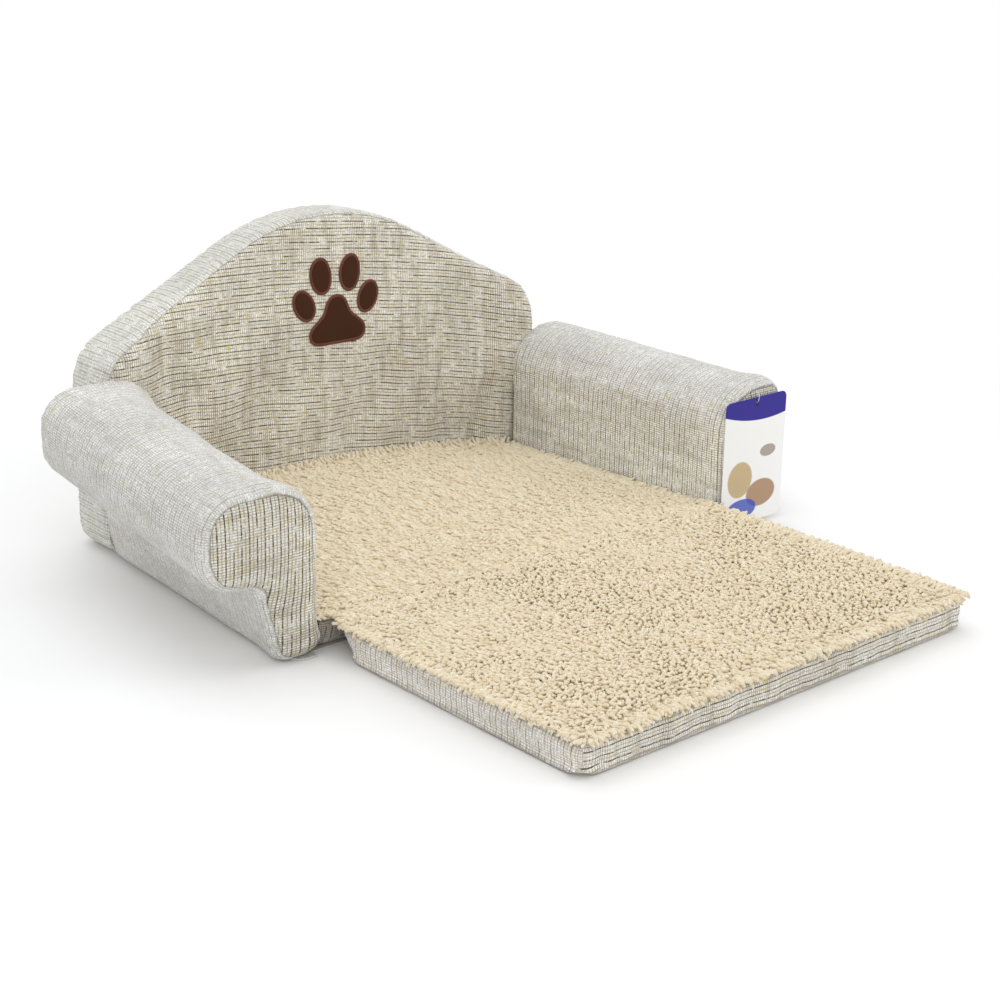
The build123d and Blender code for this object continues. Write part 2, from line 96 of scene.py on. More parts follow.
def makeLights(lights):
    for name, (place, target, size, watts, colour) in lights.items():
        lamp = bpy.data.lights.new(name, "AREA")
        lamp.energy, lamp.size, lamp.color = watts, size, colour
        aim = (Vector(place) - Vector(target)).to_track_quat("Z", "Y")
        addObject(name, lamp).matrix_world = Matrix.Translation(place) @ aim.to_matrix().to_4x4()


# Shader maths: a Signal is an output socket that can be added, multiplied and so on

class Signal:
    tree = None  # the node tree that new nodes go into

    def __init__(self, socket):
        self.socket = socket

    @classmethod
    def node(cls, kind, settings=None, inputs=None, out=0):
        made = cls.tree.nodes.new(kind)
        for name, value in (settings or {}).items():
            setattr(made, name, value)
        for name, value in (inputs or {}).items():
            if isinstance(value, Signal):
                cls.tree.links.new(value.socket, made.inputs[name])
            else:
                made.inputs[name].default_value = value
        return cls(made.outputs[out])

    def maths(self, operation, *others):
        return self.node("ShaderNodeMath", {"operation": operation}, dict(enumerate((self, *others))))

    def __add__(self, other): return self.maths("ADD", other)
    def __sub__(self, other): return self.maths("SUBTRACT", other)
    def __mul__(self, other): return self.maths("MULTIPLY", other)
    def __rsub__(self, other): return self.maths("MULTIPLY_ADD", -1.0, other)
    def __lt__(self, other): return self.maths("LESS_THAN", other)
    def __gt__(self, other): return self.maths("GREATER_THAN", other)
    __radd__, __rmul__ = __add__, __mul__

    def ease(self, low, high, start=0.0, end=1.0):  # smooth step between two limits
        return self.node("ShaderNodeMapRange", {"interpolation_type": "SMOOTHSTEP"},
                         {0: self, 1: low, 2: high, 3: start, 4: end})

    def parts(self):
        made = self.tree.nodes.new("ShaderNodeSeparateXYZ")
        self.tree.links.new(self.socket, made.inputs[0])
        return [Signal(made.outputs[i]) for i in range(3)]


def point(x, y, z=0.0):
    return Signal.node("ShaderNodeCombineXYZ", None, {0: x, 1: y, 2: z})


def mix(share, first, second, blend="MIX"):
    rgba = [value if isinstance(value, Signal) else (*value, 1) for value in (first, second)]
    return Signal.node("ShaderNodeMix", {"data_type": "RGBA", "blend_type": blend},
                       {0: share, 6: rgba[0], 7: rgba[1]}, out=2)


def noise(where, scale=1.0, detail=1.0):
    return Signal.node("ShaderNodeTexNoise", None, {"Vector": where, "Scale": scale, "Detail": detail})


def scatter(where):  # one random number for each whole step of the point
    return Signal.node("ShaderNodeTexWhiteNoise", {"noise_dimensions": "2D"}, {"Vector": where})


def bump(height, distance, strength=1.0):
    return Signal.node("ShaderNodeBump", None, {"Height": height, "Distance": distance, "Strength": strength})


def placeOf():
    return Signal.node("ShaderNodeTexCoord", out=3)


def attribute(name):
    return Signal.node("ShaderNodeAttribute", {"attribute_name": name}, out=2)


def startMaterial(name):
    material = bpy.data.materials.new(name)
    material.use_nodes = True
    Signal.tree = material.node_tree
    return material


def finishMaterial(material, links, values):
    shader = material.node_tree.nodes["Principled BSDF"]
    for name, signal in links.items():
        material.node_tree.links.new(signal.socket, shader.inputs[name])
    for name, value in values.items():
        shader.inputs[name].default_value = value
    return material


# Cloths and other finishes

tweedLook = {"cream": (0.95, 0.93, 0.89), "sand": (0.60, 0.57, 0.49), "olive": (0.090, 0.066, 0.020),
             "brown": (0.26, 0.205, 0.13), "mustard": (0.46, 0.37, 0.10), "fleck": (0.66, 0.56, 0.08),
             "row": 0.0036, "column": 0.0024, "rowWaver": 0.0030, "columnWaver": 0.0018, "dash": 0.020,
             "fibre": 0.0011, "seam": (0.10, 0.085, 0.06), "paintedLitSide": 0.38}


def tweedMaterial(name, contrast=1.0, tint=(1, 1, 1), seamShade=0.6, cover=0.0, look=tweedLook):
    material = startMaterial(name)
    u, v = Signal.node("ShaderNodeUVMap", {"uv_map": "weave"}).parts()[:2]
    where = placeOf()
    v = v + (noise(point(u * 16, v * 16)) - 0.5) * look["rowWaver"]
    u = u + (noise(point(u * 14 + 9, v * 14)) - 0.5) * look["columnWaver"]
    # painted light: on an arm's side towards the seat the weave gets more contrast here, and below it is painted
    # lighter, standing in for the light that falls on that side
    contrast = attribute("paintedLitSide") * look["paintedLitSide"] + contrast
    rows, columns = v * (1 / look["row"]), u * (1 / look["column"])
    row = rows.maths("FLOOR")
    across = (rows.maths("FRACT") - 0.5).maths("ABSOLUTE")
    beside = (columns.maths("FRACT") - 0.5).maths("ABSOLUTE")
    main = (row * 0.5).maths("FRACT") < 0.25  # every second row carries the dark dashes
    dash = noise(point(u * (1 / look["dash"]), row * 7.31), 1.0, 1.6)
    gap = across + noise(point(u * 300, row * 2.7)) * 0.08
    cell = scatter(point(*((axis * (1 / look["fibre"])).maths("FLOOR") for axis in (u, v))))
    ticks = cell.ease(0.12, 0.42, 0.22, 1.0)
    strong = dash.ease(0.39 - cover, 0.47 - cover) * main * gap.ease(0.15, 0.26, 1.0, 0.0) * ticks
    line = gap.ease(0.10, 0.19, 1.0, 0.0)
    faint = dash.ease(0.37 - cover, 0.52 - cover) * (1 - main) * line * ticks
    gold = noise(point(u * 170, row * 5.7 + 40)).ease(0.50, 0.62) * gap.ease(0.22, 0.32, 1.0, 0.0)
    bands = noise(point(u * 56, v * 5), 1.0, 2.0).ease(0.36, 0.62, 0.45, 1.0)
    upright = beside.ease(0.12, 0.24, 1.0, 0.0) * bands
    haze = noise(point(u * 120, v * 22)).ease(0.50, 0.68)
    colour = mix(cell, look["sand"], look["cream"])
    for threads, strength, paint in ((haze, 0.26, "brown"), (upright, 0.70, "brown"), (faint, 0.85, "brown"),
                                     (gold, 0.60, "mustard"), (strong, 0.95, "olive")):
        colour = mix(threads * (contrast * strength), colour, look[paint])
    spots = Signal.node("ShaderNodeTexVoronoi", None, {"Vector": point(u * 26, v * 40), "Scale": 1.0})
    colour = mix(spots.ease(0.04, 0.065, 1.0, 0.0), colour, look["fleck"])
    # painted light: the arms' sides towards the seat are painted lighter
    colour = mix(attribute("paintedLitSide") * 0.9, colour, mix(1.0, colour, (1.25, 1.26, 1.26), "MULTIPLY"))
    broad = noise(where, 11.0, 2.0).ease(0.3, 0.7)
    colour = mix(1.0, colour, mix(broad, tuple(0.93 * t for t in tint), tuple(1.05 * t for t in tint)), "MULTIPLY")
    seam = attribute("seam").maths("ABSOLUTE")
    colour = mix(seam.ease(0.0002, 0.0008, seamShade, 0.0), colour, look["seam"])
    fibres = noise(where, 1900.0, 2.0)
    threads = across.ease(0.0, 0.4) * beside.ease(0.0, 0.4)
    normal = bump(threads + fibres * 0.3 + cell * 0.2 + seam.ease(0.0, 0.0024) * 2.5, 0.0005, 0.8)
    return finishMaterial(material, {"Base Color": colour, "Normal": normal},
                          {"Roughness": 0.93, "Sheen Weight": 0.15, "Sheen Roughness": 0.6,
                           "Specular IOR Level": 0.15})


def pileMaterial(name, root, tip, glow):
    material = startMaterial(name)
    tone, tipped = attribute("tone"), attribute("tip")
    # painted light: the roots are a paler colour than the tips, which lifts the shade low between the noodles
    colour = mix(tipped.ease(0.0, 0.75), root, tip)
    colour = mix(tone, colour, glow)
    fuzz = noise(placeOf(), 1500.0, 2.0)
    colour = mix(fuzz.ease(0.35, 0.75, 0.0, 0.35), colour, tuple(c * 0.72 for c in root))
    return finishMaterial(material, {"Base Color": colour, "Normal": bump(fuzz, 0.0006, 0.9)},
                          {"Roughness": 0.95, "Sheen Weight": 0.35, "Sheen Roughness": 0.5,
                           "Specular IOR Level": 0.1})


def plainMaterial(name, colour, roughness, metallic=0.0, grain=600.0, height=0.0002, spread=0.12, **values):
    material = startMaterial(name)
    grains, patches = noise(placeOf(), grain, 3.0), noise(placeOf(), 25.0, 2.0)
    low, high = (tuple(min(1.0, c * k) for c in colour) for k in (1 - spread, 1 + spread))
    shaded = mix(grains * 0.6 + patches * 0.4, low, high)
    rough = grains.ease(0.2, 0.8, roughness * 0.9, min(1.0, roughness * 1.08))
    return finishMaterial(material, {"Base Color": shaded, "Roughness": rough, "Normal": bump(grains, height)},
                          {"Metallic": metallic, **values})


# Outlines, and help with meshes

def roundedOutline(corners, step=0.002):
    corners = [np.array(c, float) for c in corners]
    out = []
    for i, (x, y, radius) in enumerate(corners):
        here = np.array((x, y))
        before, after = corners[i - 1][:2] - here, corners[(i + 1) % len(corners)][:2] - here
        before, after = before / np.linalg.norm(before), after / np.linalg.norm(after)
        half = math.acos(np.clip(before @ after, -1, 1)) / 2
        middle = here + (before + after) / np.linalg.norm(before + after) * radius / math.sin(half)
        start, end = here + before * radius / math.tan(half), here + after * radius / math.tan(half)
        a, b = (math.atan2(*(p - middle)[::-1]) for p in (start, end))
        sweep = (b - a + math.pi) % math.tau - math.pi
        count = max(2, int(abs(sweep) * radius / step))
        angles = a + sweep * np.linspace(0, 1, count)
        out.append(middle + radius * np.stack([np.cos(angles), np.sin(angles)], 1))
    ring = np.concatenate(out)
    dense = []
    for a, b in zip(ring, np.roll(ring, -1, 0)):
        count = max(1, int(np.linalg.norm(b - a) / step))
        dense.append(a + (b - a) * np.linspace(0, 1, count, endpoint=False)[:, None])
    return np.concatenate(dense)


def edgesOf(outline):
    ends = np.roll(outline, -1, 0) - outline
    lengths = np.linalg.norm(ends, axis=1)
    return ends, lengths, np.concatenate([[0], np.cumsum(lengths)[:-1]])


def alongOutline(points, outline):
    ends, lengths, starts = edgesOf(outline)
    distance, along, side = np.full(len(points), 1e9), np.zeros(len(points)), np.zeros(len(points))
    for i, (start, end, length) in enumerate(zip(outline, ends, lengths)):
        offset = points - start
        share = np.clip(offset @ end / length ** 2, 0, 1)
        gap = np.linalg.norm(offset - share[:, None] * end, axis=1)
        nearer = gap < distance
        distance[nearer] = gap[nearer]
        along[nearer] = (starts[i] + share * length)[nearer]
        side[nearer] = np.sign(end[0] * offset[:, 1] - end[1] * offset[:, 0])[nearer]
    return along, distance * side, lengths.sum()


def mirrored(right):  # adds the left corners to the right ones; a corner in the middle stays single
    left = [(-x, y, radius) for x, y, radius in right]
    return left[:1] + right + [corner for corner in left[:0:-1] if corner[0]]


armCorners = [(0.0, 0.0018, 0.014), (0.038, 0.0018, 0.014), (0.057, 0.073, 0.009), (0.114, 0.084, 0.036),
              (0.114, 0.166, 0.037), (0.0, 0.166, 0.048)]  # each corner: two places and a radius
backCorners = mirrored([(0.283, 0.0018, 0.02), (0.283, 0.203, 0.056), (0.0, 0.352, 0.237)])
panelCorners = mirrored([(0.247, foldLine - 0.324, 0.011), (0.25, foldLine - 0.003, 0.009)])
seatCorners = mirrored([(0.2608, foldLine + 0.003, 0.009), (0.2478, 0.1573, 0.009), (0.214, 0.1693, 0.04)])
fillCorners = mirrored([(0.257, foldLine + 0.015, 0.012), (0.2445, 0.155, 0.009), (0.211, 0.167, 0.04)])
armOutline, backOutline = roundedOutline(armCorners), roundedOutline(backCorners)
panelOutline, seatOutline = roundedOutline(panelCorners), roundedOutline(seatCorners)


def armInner(y):
    return 0.262 - 0.013 * (y - foldLine) / armRun


def readPoints(piece, what="co"):
    values = np.empty(len(piece.data.vertices) * 3)
    piece.data.vertices.foreach_get(what, values)
    return values.reshape(-1, 3)


def writePoints(piece, co):
    piece.data.vertices.foreach_set("co", co.ravel())
    piece.data.update()


def selectOnly(piece):
    bpy.ops.object.select_all(action="DESELECT")
    piece.select_set(True)
    bpy.context.view_layer.objects.active = piece


def editAll(piece):
    selectOnly(piece)
    bpy.ops.object.mode_set(mode="EDIT")
    bpy.ops.mesh.select_all(action="SELECT")


def applyModifiers(piece):
    selectOnly(piece)
    for modifier in list(piece.modifiers):
        bpy.ops.object.modifier_apply(modifier=modifier.name)


def setMaterials(piece, materials):
    piece.data.materials.clear()
    for material in materials:
        piece.data.materials.append(material)


def addPiece(name, mesh, material=None, body="sofa"):
    piece = addObject(name, mesh)
    if material:
        setMaterials(piece, [material])
    if body:
        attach(piece, body)
    return piece


def joinNodes(name, nodes):
    shape = bmesh.new()
    for node in nodes:
        shape.from_mesh(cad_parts[node].data)
    bmesh.ops.remove_doubles(shape, verts=shape.verts, dist=0.00001)
    mesh = bpy.data.meshes.new(name)
    shape.to_mesh(mesh)
    shape.free()
    return mesh


def skinOf(name, nodes, voxel):
    piece = addPiece(name, joinNodes(name, nodes))
    remesh = piece.modifiers.new("skin", "REMESH")
    remesh.mode, remesh.voxel_size = "VOXEL", voxel
    smooth = piece.modifiers.new("ease", "SMOOTH")
    smooth.factor, smooth.iterations = 0.5, 2
    applyModifiers(piece)
    return piece


swellLook = {"quality": 4, "mass": 0.2, "tension_stiffness": 12, "compression_stiffness": 12, "shear_stiffness": 6,
             "bending_stiffness": 0.8, "vertex_group_mass": "held", "use_pressure": True, "uniform_pressure_force": 4.0}
swellFrames = 20


def swell(piece, held, cap):
    group = piece.vertex_groups.new(name="held")
    held = np.round(held, 1)
    for weight in np.unique(held[held > 0]):
        group.add(np.nonzero(held == weight)[0].tolist(), float(weight), "REPLACE")
    before = readPoints(piece)
    cloth = piece.modifiers.new("swell", "CLOTH")
    for name, value in swellLook.items():
        setattr(cloth.settings, name, value)
    cloth.settings.effector_weights.gravity = 0
    cloth.point_cache.frame_end = swellFrames
    for count in range(1, swellFrames + 1):
        bpy.context.scene.frame_set(count)
    graph = bpy.context.evaluated_depsgraph_get()
    moved = readPoints(piece.evaluated_get(graph))
    piece.modifiers.remove(cloth)
    bpy.context.scene.frame_set(1)
    shift = moved - before
    reach = np.linalg.norm(shift, axis=1, keepdims=True)
    writePoints(piece, before + shift * np.minimum(1, cap / np.maximum(reach, 1e-9)))


def puff(piece, held=None, cap=0):  # swells the skin, refines it and returns where each vertex was before
    layer = piece.data.attributes.new("rest", "FLOAT_VECTOR", "POINT")
    layer.data.foreach_set("vector", readPoints(piece).astype(np.float32).ravel())
    if held is not None:
        swell(piece, held, cap)
    finer = piece.modifiers.new("finer", "SUBSURF")
    finer.levels = finer.render_levels = 1
    applyModifiers(piece)
    piece.data.shade_smooth()
    layer = piece.data.attributes["rest"]
    rest = np.empty(len(layer.data) * 3, np.float32)
    layer.data.foreach_get("vector", rest)
    piece.data.attributes.remove(layer)
    return rest.reshape(-1, 3).astype(float)


def addAttribute(piece, name, values):
    layer = piece.data.attributes.new(name, "FLOAT", "POINT")
    layer.data.foreach_set("value", np.asarray(values, np.float32))


def fade(distance, width):
    return np.exp(-(distance / width) ** 2)


def ripples(where, scale, seed):
    rng = np.random.default_rng(seed)
    total = np.zeros(len(where))
    for octave in range(3):
        for wave in range(5):
            direction = rng.normal(size=where.shape[1])
            direction *= math.tau / scale * 2 ** octave / np.linalg.norm(direction) * rng.uniform(0.7, 1.3)
            total += np.sin(where @ direction + rng.uniform(0, math.tau)) / 2 ** octave
    return total / 5


makeView(viewLook)
makeLights(lightLook)
print("view and light ready")


# The floor, and a world that the camera sees as white

def makeFloor(look):
    bpy.ops.mesh.primitive_plane_add(size=14)
    floor = bpy.context.object
    floor.name = "floor"
    material = startMaterial("floor")
    grains = noise(placeOf(), 40.0, 3.0)
    colour = mix(grains, tuple(c * 0.985 for c in look["floor"]), look["floor"])
    finishMaterial(material, {"Base Color": colour}, {"Roughness": 0.9, "Specular IOR Level": 0.0})
    x, y = placeOf().parts()[:2]
    away = ((x * x) + (y + 0.13) * (y + 0.13)).maths("SQRT").ease(*look["clear"])
    seen = Signal(Signal.tree.nodes.new("ShaderNodeLightPath").outputs["Is Camera Ray"])
    white = Signal.node("ShaderNodeEmission", None, {"Color": (1, 1, 1, 1), "Strength": 1.0})
    plain = Signal(Signal.tree.nodes["Principled BSDF"].outputs[0])
    both = Signal.node("ShaderNodeMixShader", None, {0: away * seen, 1: plain, 2: white})
    Signal.tree.links.new(both.socket, Signal.tree.nodes["Material Output"].inputs["Surface"])
    floor.data.materials.append(material)
    world = bpy.data.worlds.new("world")
    bpy.context.scene.world = world
    world.use_nodes = True
    Signal.tree = world.node_tree
    path = Signal.tree.nodes.new("ShaderNodeLightPath")
    seen = Signal(path.outputs["Is Camera Ray"])
    for name in ("Is Glossy Ray", "Is Transmission Ray"):
        seen = seen.maths("MAXIMUM", Signal(path.outputs[name]))
    plain = world.node_tree.nodes["Background"]
    strength = seen * (1 - look["world"]) + look["world"]
    world.node_tree.links.new(strength.socket, plain.inputs["Strength"])
    plain.inputs["Color"].default_value = (1, 1, 1, 1)
    bpy.context.scene.view_settings.view_transform = "Standard"


# Cushions: a skin over the foam, swollen by simulation and then sewn in

def smooth(values, low, high):
    share = np.clip((values - low) / (high - low), 0, 1)
    return share * share * (3 - 2 * share)


def drop(values, low, high):
    return 1 - smooth(values, low, high)


def readLoops(mesh):
    loops, totals = np.empty(len(mesh.loops), int), np.empty(len(mesh.polygons), int)
    mesh.loops.foreach_get("vertex_index", loops)
    mesh.polygons.foreach_get("loop_total", totals)
    return loops, totals


def sewWeave(piece, fields, choose, maps, wraps):
    mesh = piece.data
    loops, totals = readLoops(mesh)
    faces = np.repeat(np.arange(len(totals)), totals)
    which = choose(*(np.bincount(faces, field[loops]) / totals for field in fields))
    uv = np.zeros((len(loops), 2))
    for index, (u, v, turns) in enumerate(maps):
        chosen = np.nonzero(which[faces] == index)[0]
        pair = np.column_stack([u, v])[loops[chosen]]
        if turns is not None:  # faces that cross the place where the outline starts
            high = np.full(len(which), -1e9)
            np.maximum.at(high, faces[chosen], pair[:, turns])
            pair[pair[:, turns] < high[faces[chosen]] - wraps / 2, turns] += wraps
        uv[chosen] = pair
    layer = mesh.uv_layers.new(name="weave")
    layer.uv.foreach_set("vector", uv.astype(np.float32).ravel())
    mesh.polygons.foreach_set("material_index", which.astype(np.int32))


backLook = {"voxel": 0.006, "swell": 0.010, "seamDepth": 0.0016, "seamWidth": 0.006, "folds": 0.0040,
            "creases": (((-0.13, 0.08), (-0.09, 0.125), 0.028, 0.6), ((-0.09, 0.125), (-0.045, 0.16), 0.028, 0.5),
                        ((0.03, 0.08), (0.08, 0.155), 0.022, 0.7), ((-0.207, 0.195), (-0.18, 0.13), 0.020, 0.6),
                        ((0.16, 0.052), (0.20, 0.048), 0.016, 0.7)),
            "pucker": 0.0009, "hollow": 0.009, "zipFace": 0.2288, "pull": 0.0018, "fill": 0.7}


def lineDistance(x, z, start, end):
    ahead = np.subtract(end, start)
    share = np.clip(((x - start[0]) * ahead[0] + (z - start[1]) * ahead[1]) / (ahead @ ahead), 0, 1)
    return np.hypot(x - start[0] - share * ahead[0], z - start[1] - share * ahead[1])


def backFront(x):
    return backFace - 0.012 * smooth(np.abs(x), 0.214, 0.246)


def backFields(rest):
    x, y, z = rest.T
    along, inset, length = alongOutline(rest[:, [0, 2]], backOutline)
    return x, y, z, along, inset - (y - backFront(x)), inset - (backRear - y), length


def makeBack(look):
    piece = skinOf("backCushion", ["back_foam", "back_face", "back_boxing", "back_rear"], look["voxel"])
    x, y, z, along, front, rear, length = backFields(readPoints(piece))
    seams = np.maximum(fade(front, 0.004), fade(rear, 0.004))
    wings = (y < 0.19) * drop(z, 0.155, 0.18) * smooth(np.abs(x), 0.235, 0.25)
    held = seams + drop(z, 0.045, 0.075) + wings
    x, y, z, along, front, rear, length = backFields(puff(piece, np.clip(held, 0, 1), look["swell"]))
    co, normals = readPoints(piece), readPoints(piece, "normal")
    ahead = y < (backFace + backRear) / 2
    depth = np.where(ahead, fade(front, look["seamWidth"]), fade(rear, look["seamWidth"]))
    puckers = ripples(along[:, None], 0.016, 3) * fade(abs(np.where(ahead, front, rear)) - 0.007, 0.012)
    face = smooth(front, 0.004, 0.03) * ahead
    tilt = np.column_stack([x + z * 0.35, z * 0.35])
    waves = 0.5 * ripples(tilt, 0.15, 11) * (0.35 + 0.65 * drop(z, 0.12, 0.26))
    pulled = -waves
    for start, end, width, deep in look["creases"]:
        waves -= deep * fade(lineDistance(x, z, start, end), width)
        waves += 0.5 * deep * fade(lineDistance(x, z, start, end) - 1.7 * width, width)
    pulled = (pulled + waves) * face
    shift = -look["seamDepth"] * depth + look["pucker"] * puckers + look["folds"] * waves * face
    co += normals * (shift * smooth(z, 0.0, 0.02))[:, None]
    hollow = smooth(abs(x), 0.08, 0.25) * smooth(z, 0.075, 0.12) * ahead * smooth(front, -0.02, 0.01)
    co[:, 1] -= look["hollow"] * hollow
    sunk = drop(abs(z - zipHeight), 0.0078, 0.0115) * drop(abs(x), 0.2205, 0.2245) * (y > 0.215)
    co[:, 1] += (np.minimum(co[:, 1], look["zipFace"]) - co[:, 1]) * sunk
    writePoints(piece, co)
    addAttribute(piece, "seam", np.where(ahead, front, rear))
    setMaterials(piece, [cloths["back"], cloths["rear"], cloths["gusset"]])
    drape = z + 0.10 * x + 0.25 * x * x + look["pull"] * pulled  # the rows of the weave dip and follow the folds
    sewWeave(piece, (np.where(ahead, front, -1), np.where(ahead, -1, rear)),
             lambda f, r: np.where(f > 0, 0, np.where(r > 0, 1, 2)),
             ((x, drape, None), (-x, z + 0.9, None), (y, along, 1)), length)
    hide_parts("back_foam", "back_face", "back_boxing", "back_rear")
    return piece


armLook = {"left": {"lift": 0.024, "lean": 0.013, "flare": 0.009, "narrow": 0.0, "drop": 0.0, "sag": 0.0},
           "right": {"lift": 0.0, "lean": 0.0, "flare": 0.003, "narrow": 0.22, "drop": 0.004, "sag": 0.008},
           "voxel": 0.0055, "swell": 0.007, "endSwell": 0.003, "endSeam": (0.0035, 0.009), "seamDepth": 0.0013,
           "seamWidth": 0.005, "pucker": 0.0011, "full": 0.0055, "knob": 0.005, "notch": (0.057, 0.078), "fill": 0.8}


def armFields(rest, side, look):
    x, y, z = rest.T
    depth = y - foldLine
    out = side * x - armInner(y)
    out = out + 0.008 * np.clip(depth / armRun, 0, 1) * smooth(out, 0, 0.038)
    along, inset, length = alongOutline(np.column_stack([out, z]), armOutline)
    low, high = look["endSeam"]  # the end seam's distance from the edge, below and above
    end = inset - (low + (high - low) * smooth(z, 0.07, 0.11)) - depth
    rear = inset - (armRun - depth)
    facing = drop(out, 0.002, 0.012) * drop(z, 0.09, 0.13)  # 1 on the side towards the seat
    return out, depth, z, along, end, rear, facing, length


def leanArm(co, side, lean):  # soft foam: the roll is pushed up and inwards at the back
    x, y, z = co.T
    run = np.clip((y - foldLine) / armRun, 0, 1)
    out = side * x - armInner(y)
    shift = (lean["lean"] * run ** 1.5 + lean["flare"] * smooth(run, 0.86, 1.0)) * smooth(z, 0.082, 0.135)
    out = out * (1 - lean["narrow"] * smooth(out, 0.03, 0.114)) - shift * drop(out, 0.03, 0.09)
    co[:, 0] = side * (out + armInner(y))
    raised = lean["lift"] * run ** 1.4 - lean["drop"] - lean["sag"] * (1 - run) ** 1.5
    co[:, 2] += raised * smooth(z, 0.015, 0.08)
    return co


def makeArm(name, side, look):
    nodes = [f"{name}_arm_{part}" for part in ("foam", "wrap", "front", "rear")]
    piece = skinOf(f"{name}Arm", nodes, look["voxel"])
    out, depth, z, along, end, rear, facing, length = armFields(readPoints(piece), side, look)
    notch = fade(np.hypot(out - look["notch"][0], z - look["notch"][1]), 0.008)
    held = (fade(end, 0.004) + drop(z, 0.008, 0.02) + smooth(depth, 0.3208, 0.3268)
            + facing * smooth(depth, 0.02, 0.09) + notch)
    cap = np.where(depth < 0.004, look["endSwell"], look["swell"])[:, None]
    rest = puff(piece, np.clip(held, 0, 1), cap)
    out, depth, z, along, end, rear, facing, length = armFields(rest, side, look)
    co, normals = readPoints(piece), readPoints(piece, "normal")
    gathers = ripples(along[:, None], 0.014, 5 + side)
    puckers = smooth(-end, 0.0, 0.006) * fade(end + 0.008, 0.014) + 0.6 * fade(rear + 0.01, 0.012) * (z > 0.05)
    puckers = gathers * (puckers + 0.4 * fade(end - 0.006, 0.006))
    soft = ripples(np.column_stack([along, rest[:, 1] * 0.8]), 0.11, 17 + side) * smooth(-end, 0.01, 0.04)
    seams = np.where(depth < rearEnd, fade(end, look["seamWidth"]), 0.6 * fade(rear, look["seamWidth"]))
    shift = look["pucker"] * (1 - facing) * (puckers + soft) - look["seamDepth"] * seams
    co = co + normals * (shift * smooth(z, 0.0, 0.02))[:, None]
    fuller = look["full"] * drop(depth, 0.0, 0.055)  # the end bulges
    width = 0.036 + 0.078 * smooth(z, 0.05, 0.1)
    co[:, 0] += side * fuller * np.clip(2 * out / width - 1, -1, 1)
    co[:, 2] += fuller * smooth(z, 0.03, 0.166)
    knob = fade(z - 0.016, 0.010) * fade(depth - 0.004, 0.014) * drop(out, 0.0, 0.016)
    co[:, 0] -= side * look["knob"] * knob
    foot = smooth(side * co[:, 0], 0.286, 0.292) * drop(z, 0.002, 0.012)
    co[:, 2] = np.maximum(co[:, 2], 0.0016) - 0.0013 * foot
    writePoints(piece, leanArm(co, side, look[name]))
    addAttribute(piece, "seam", np.where(depth < rearEnd, end, rear))
    # painted light: marks each arm's side towards the seat, which the tweed paints lighter and with more contrast
    addAttribute(piece, "paintedLitSide", drop(out, 0.0, 0.03) * drop(z, 0.11, 0.16))
    setMaterials(piece, [cloths["armEnd"], cloths["armEnd"], cloths["arm"]])
    sewWeave(piece, (end, rear, depth),
             lambda e, r, d: np.where((e > 0) & (d < rearEnd), 0, np.where((r > 0) & (d > rearEnd), 1, 2)),
             ((z, side * out, None), (z, side * out + 1, None), (along * side, rest[:, 1], 0)), length * side)
    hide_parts(*nodes)


panelLook = {"voxel": 0.006, "swell": 0.0035, "sideSwell": 0.0012, "wave": 0.0014, "cornerAt": (0.223, 0.3),
             "corner": 0.22, "push": 0.85, "seams": (0.0295, 0.0045), "fill": 0.8}


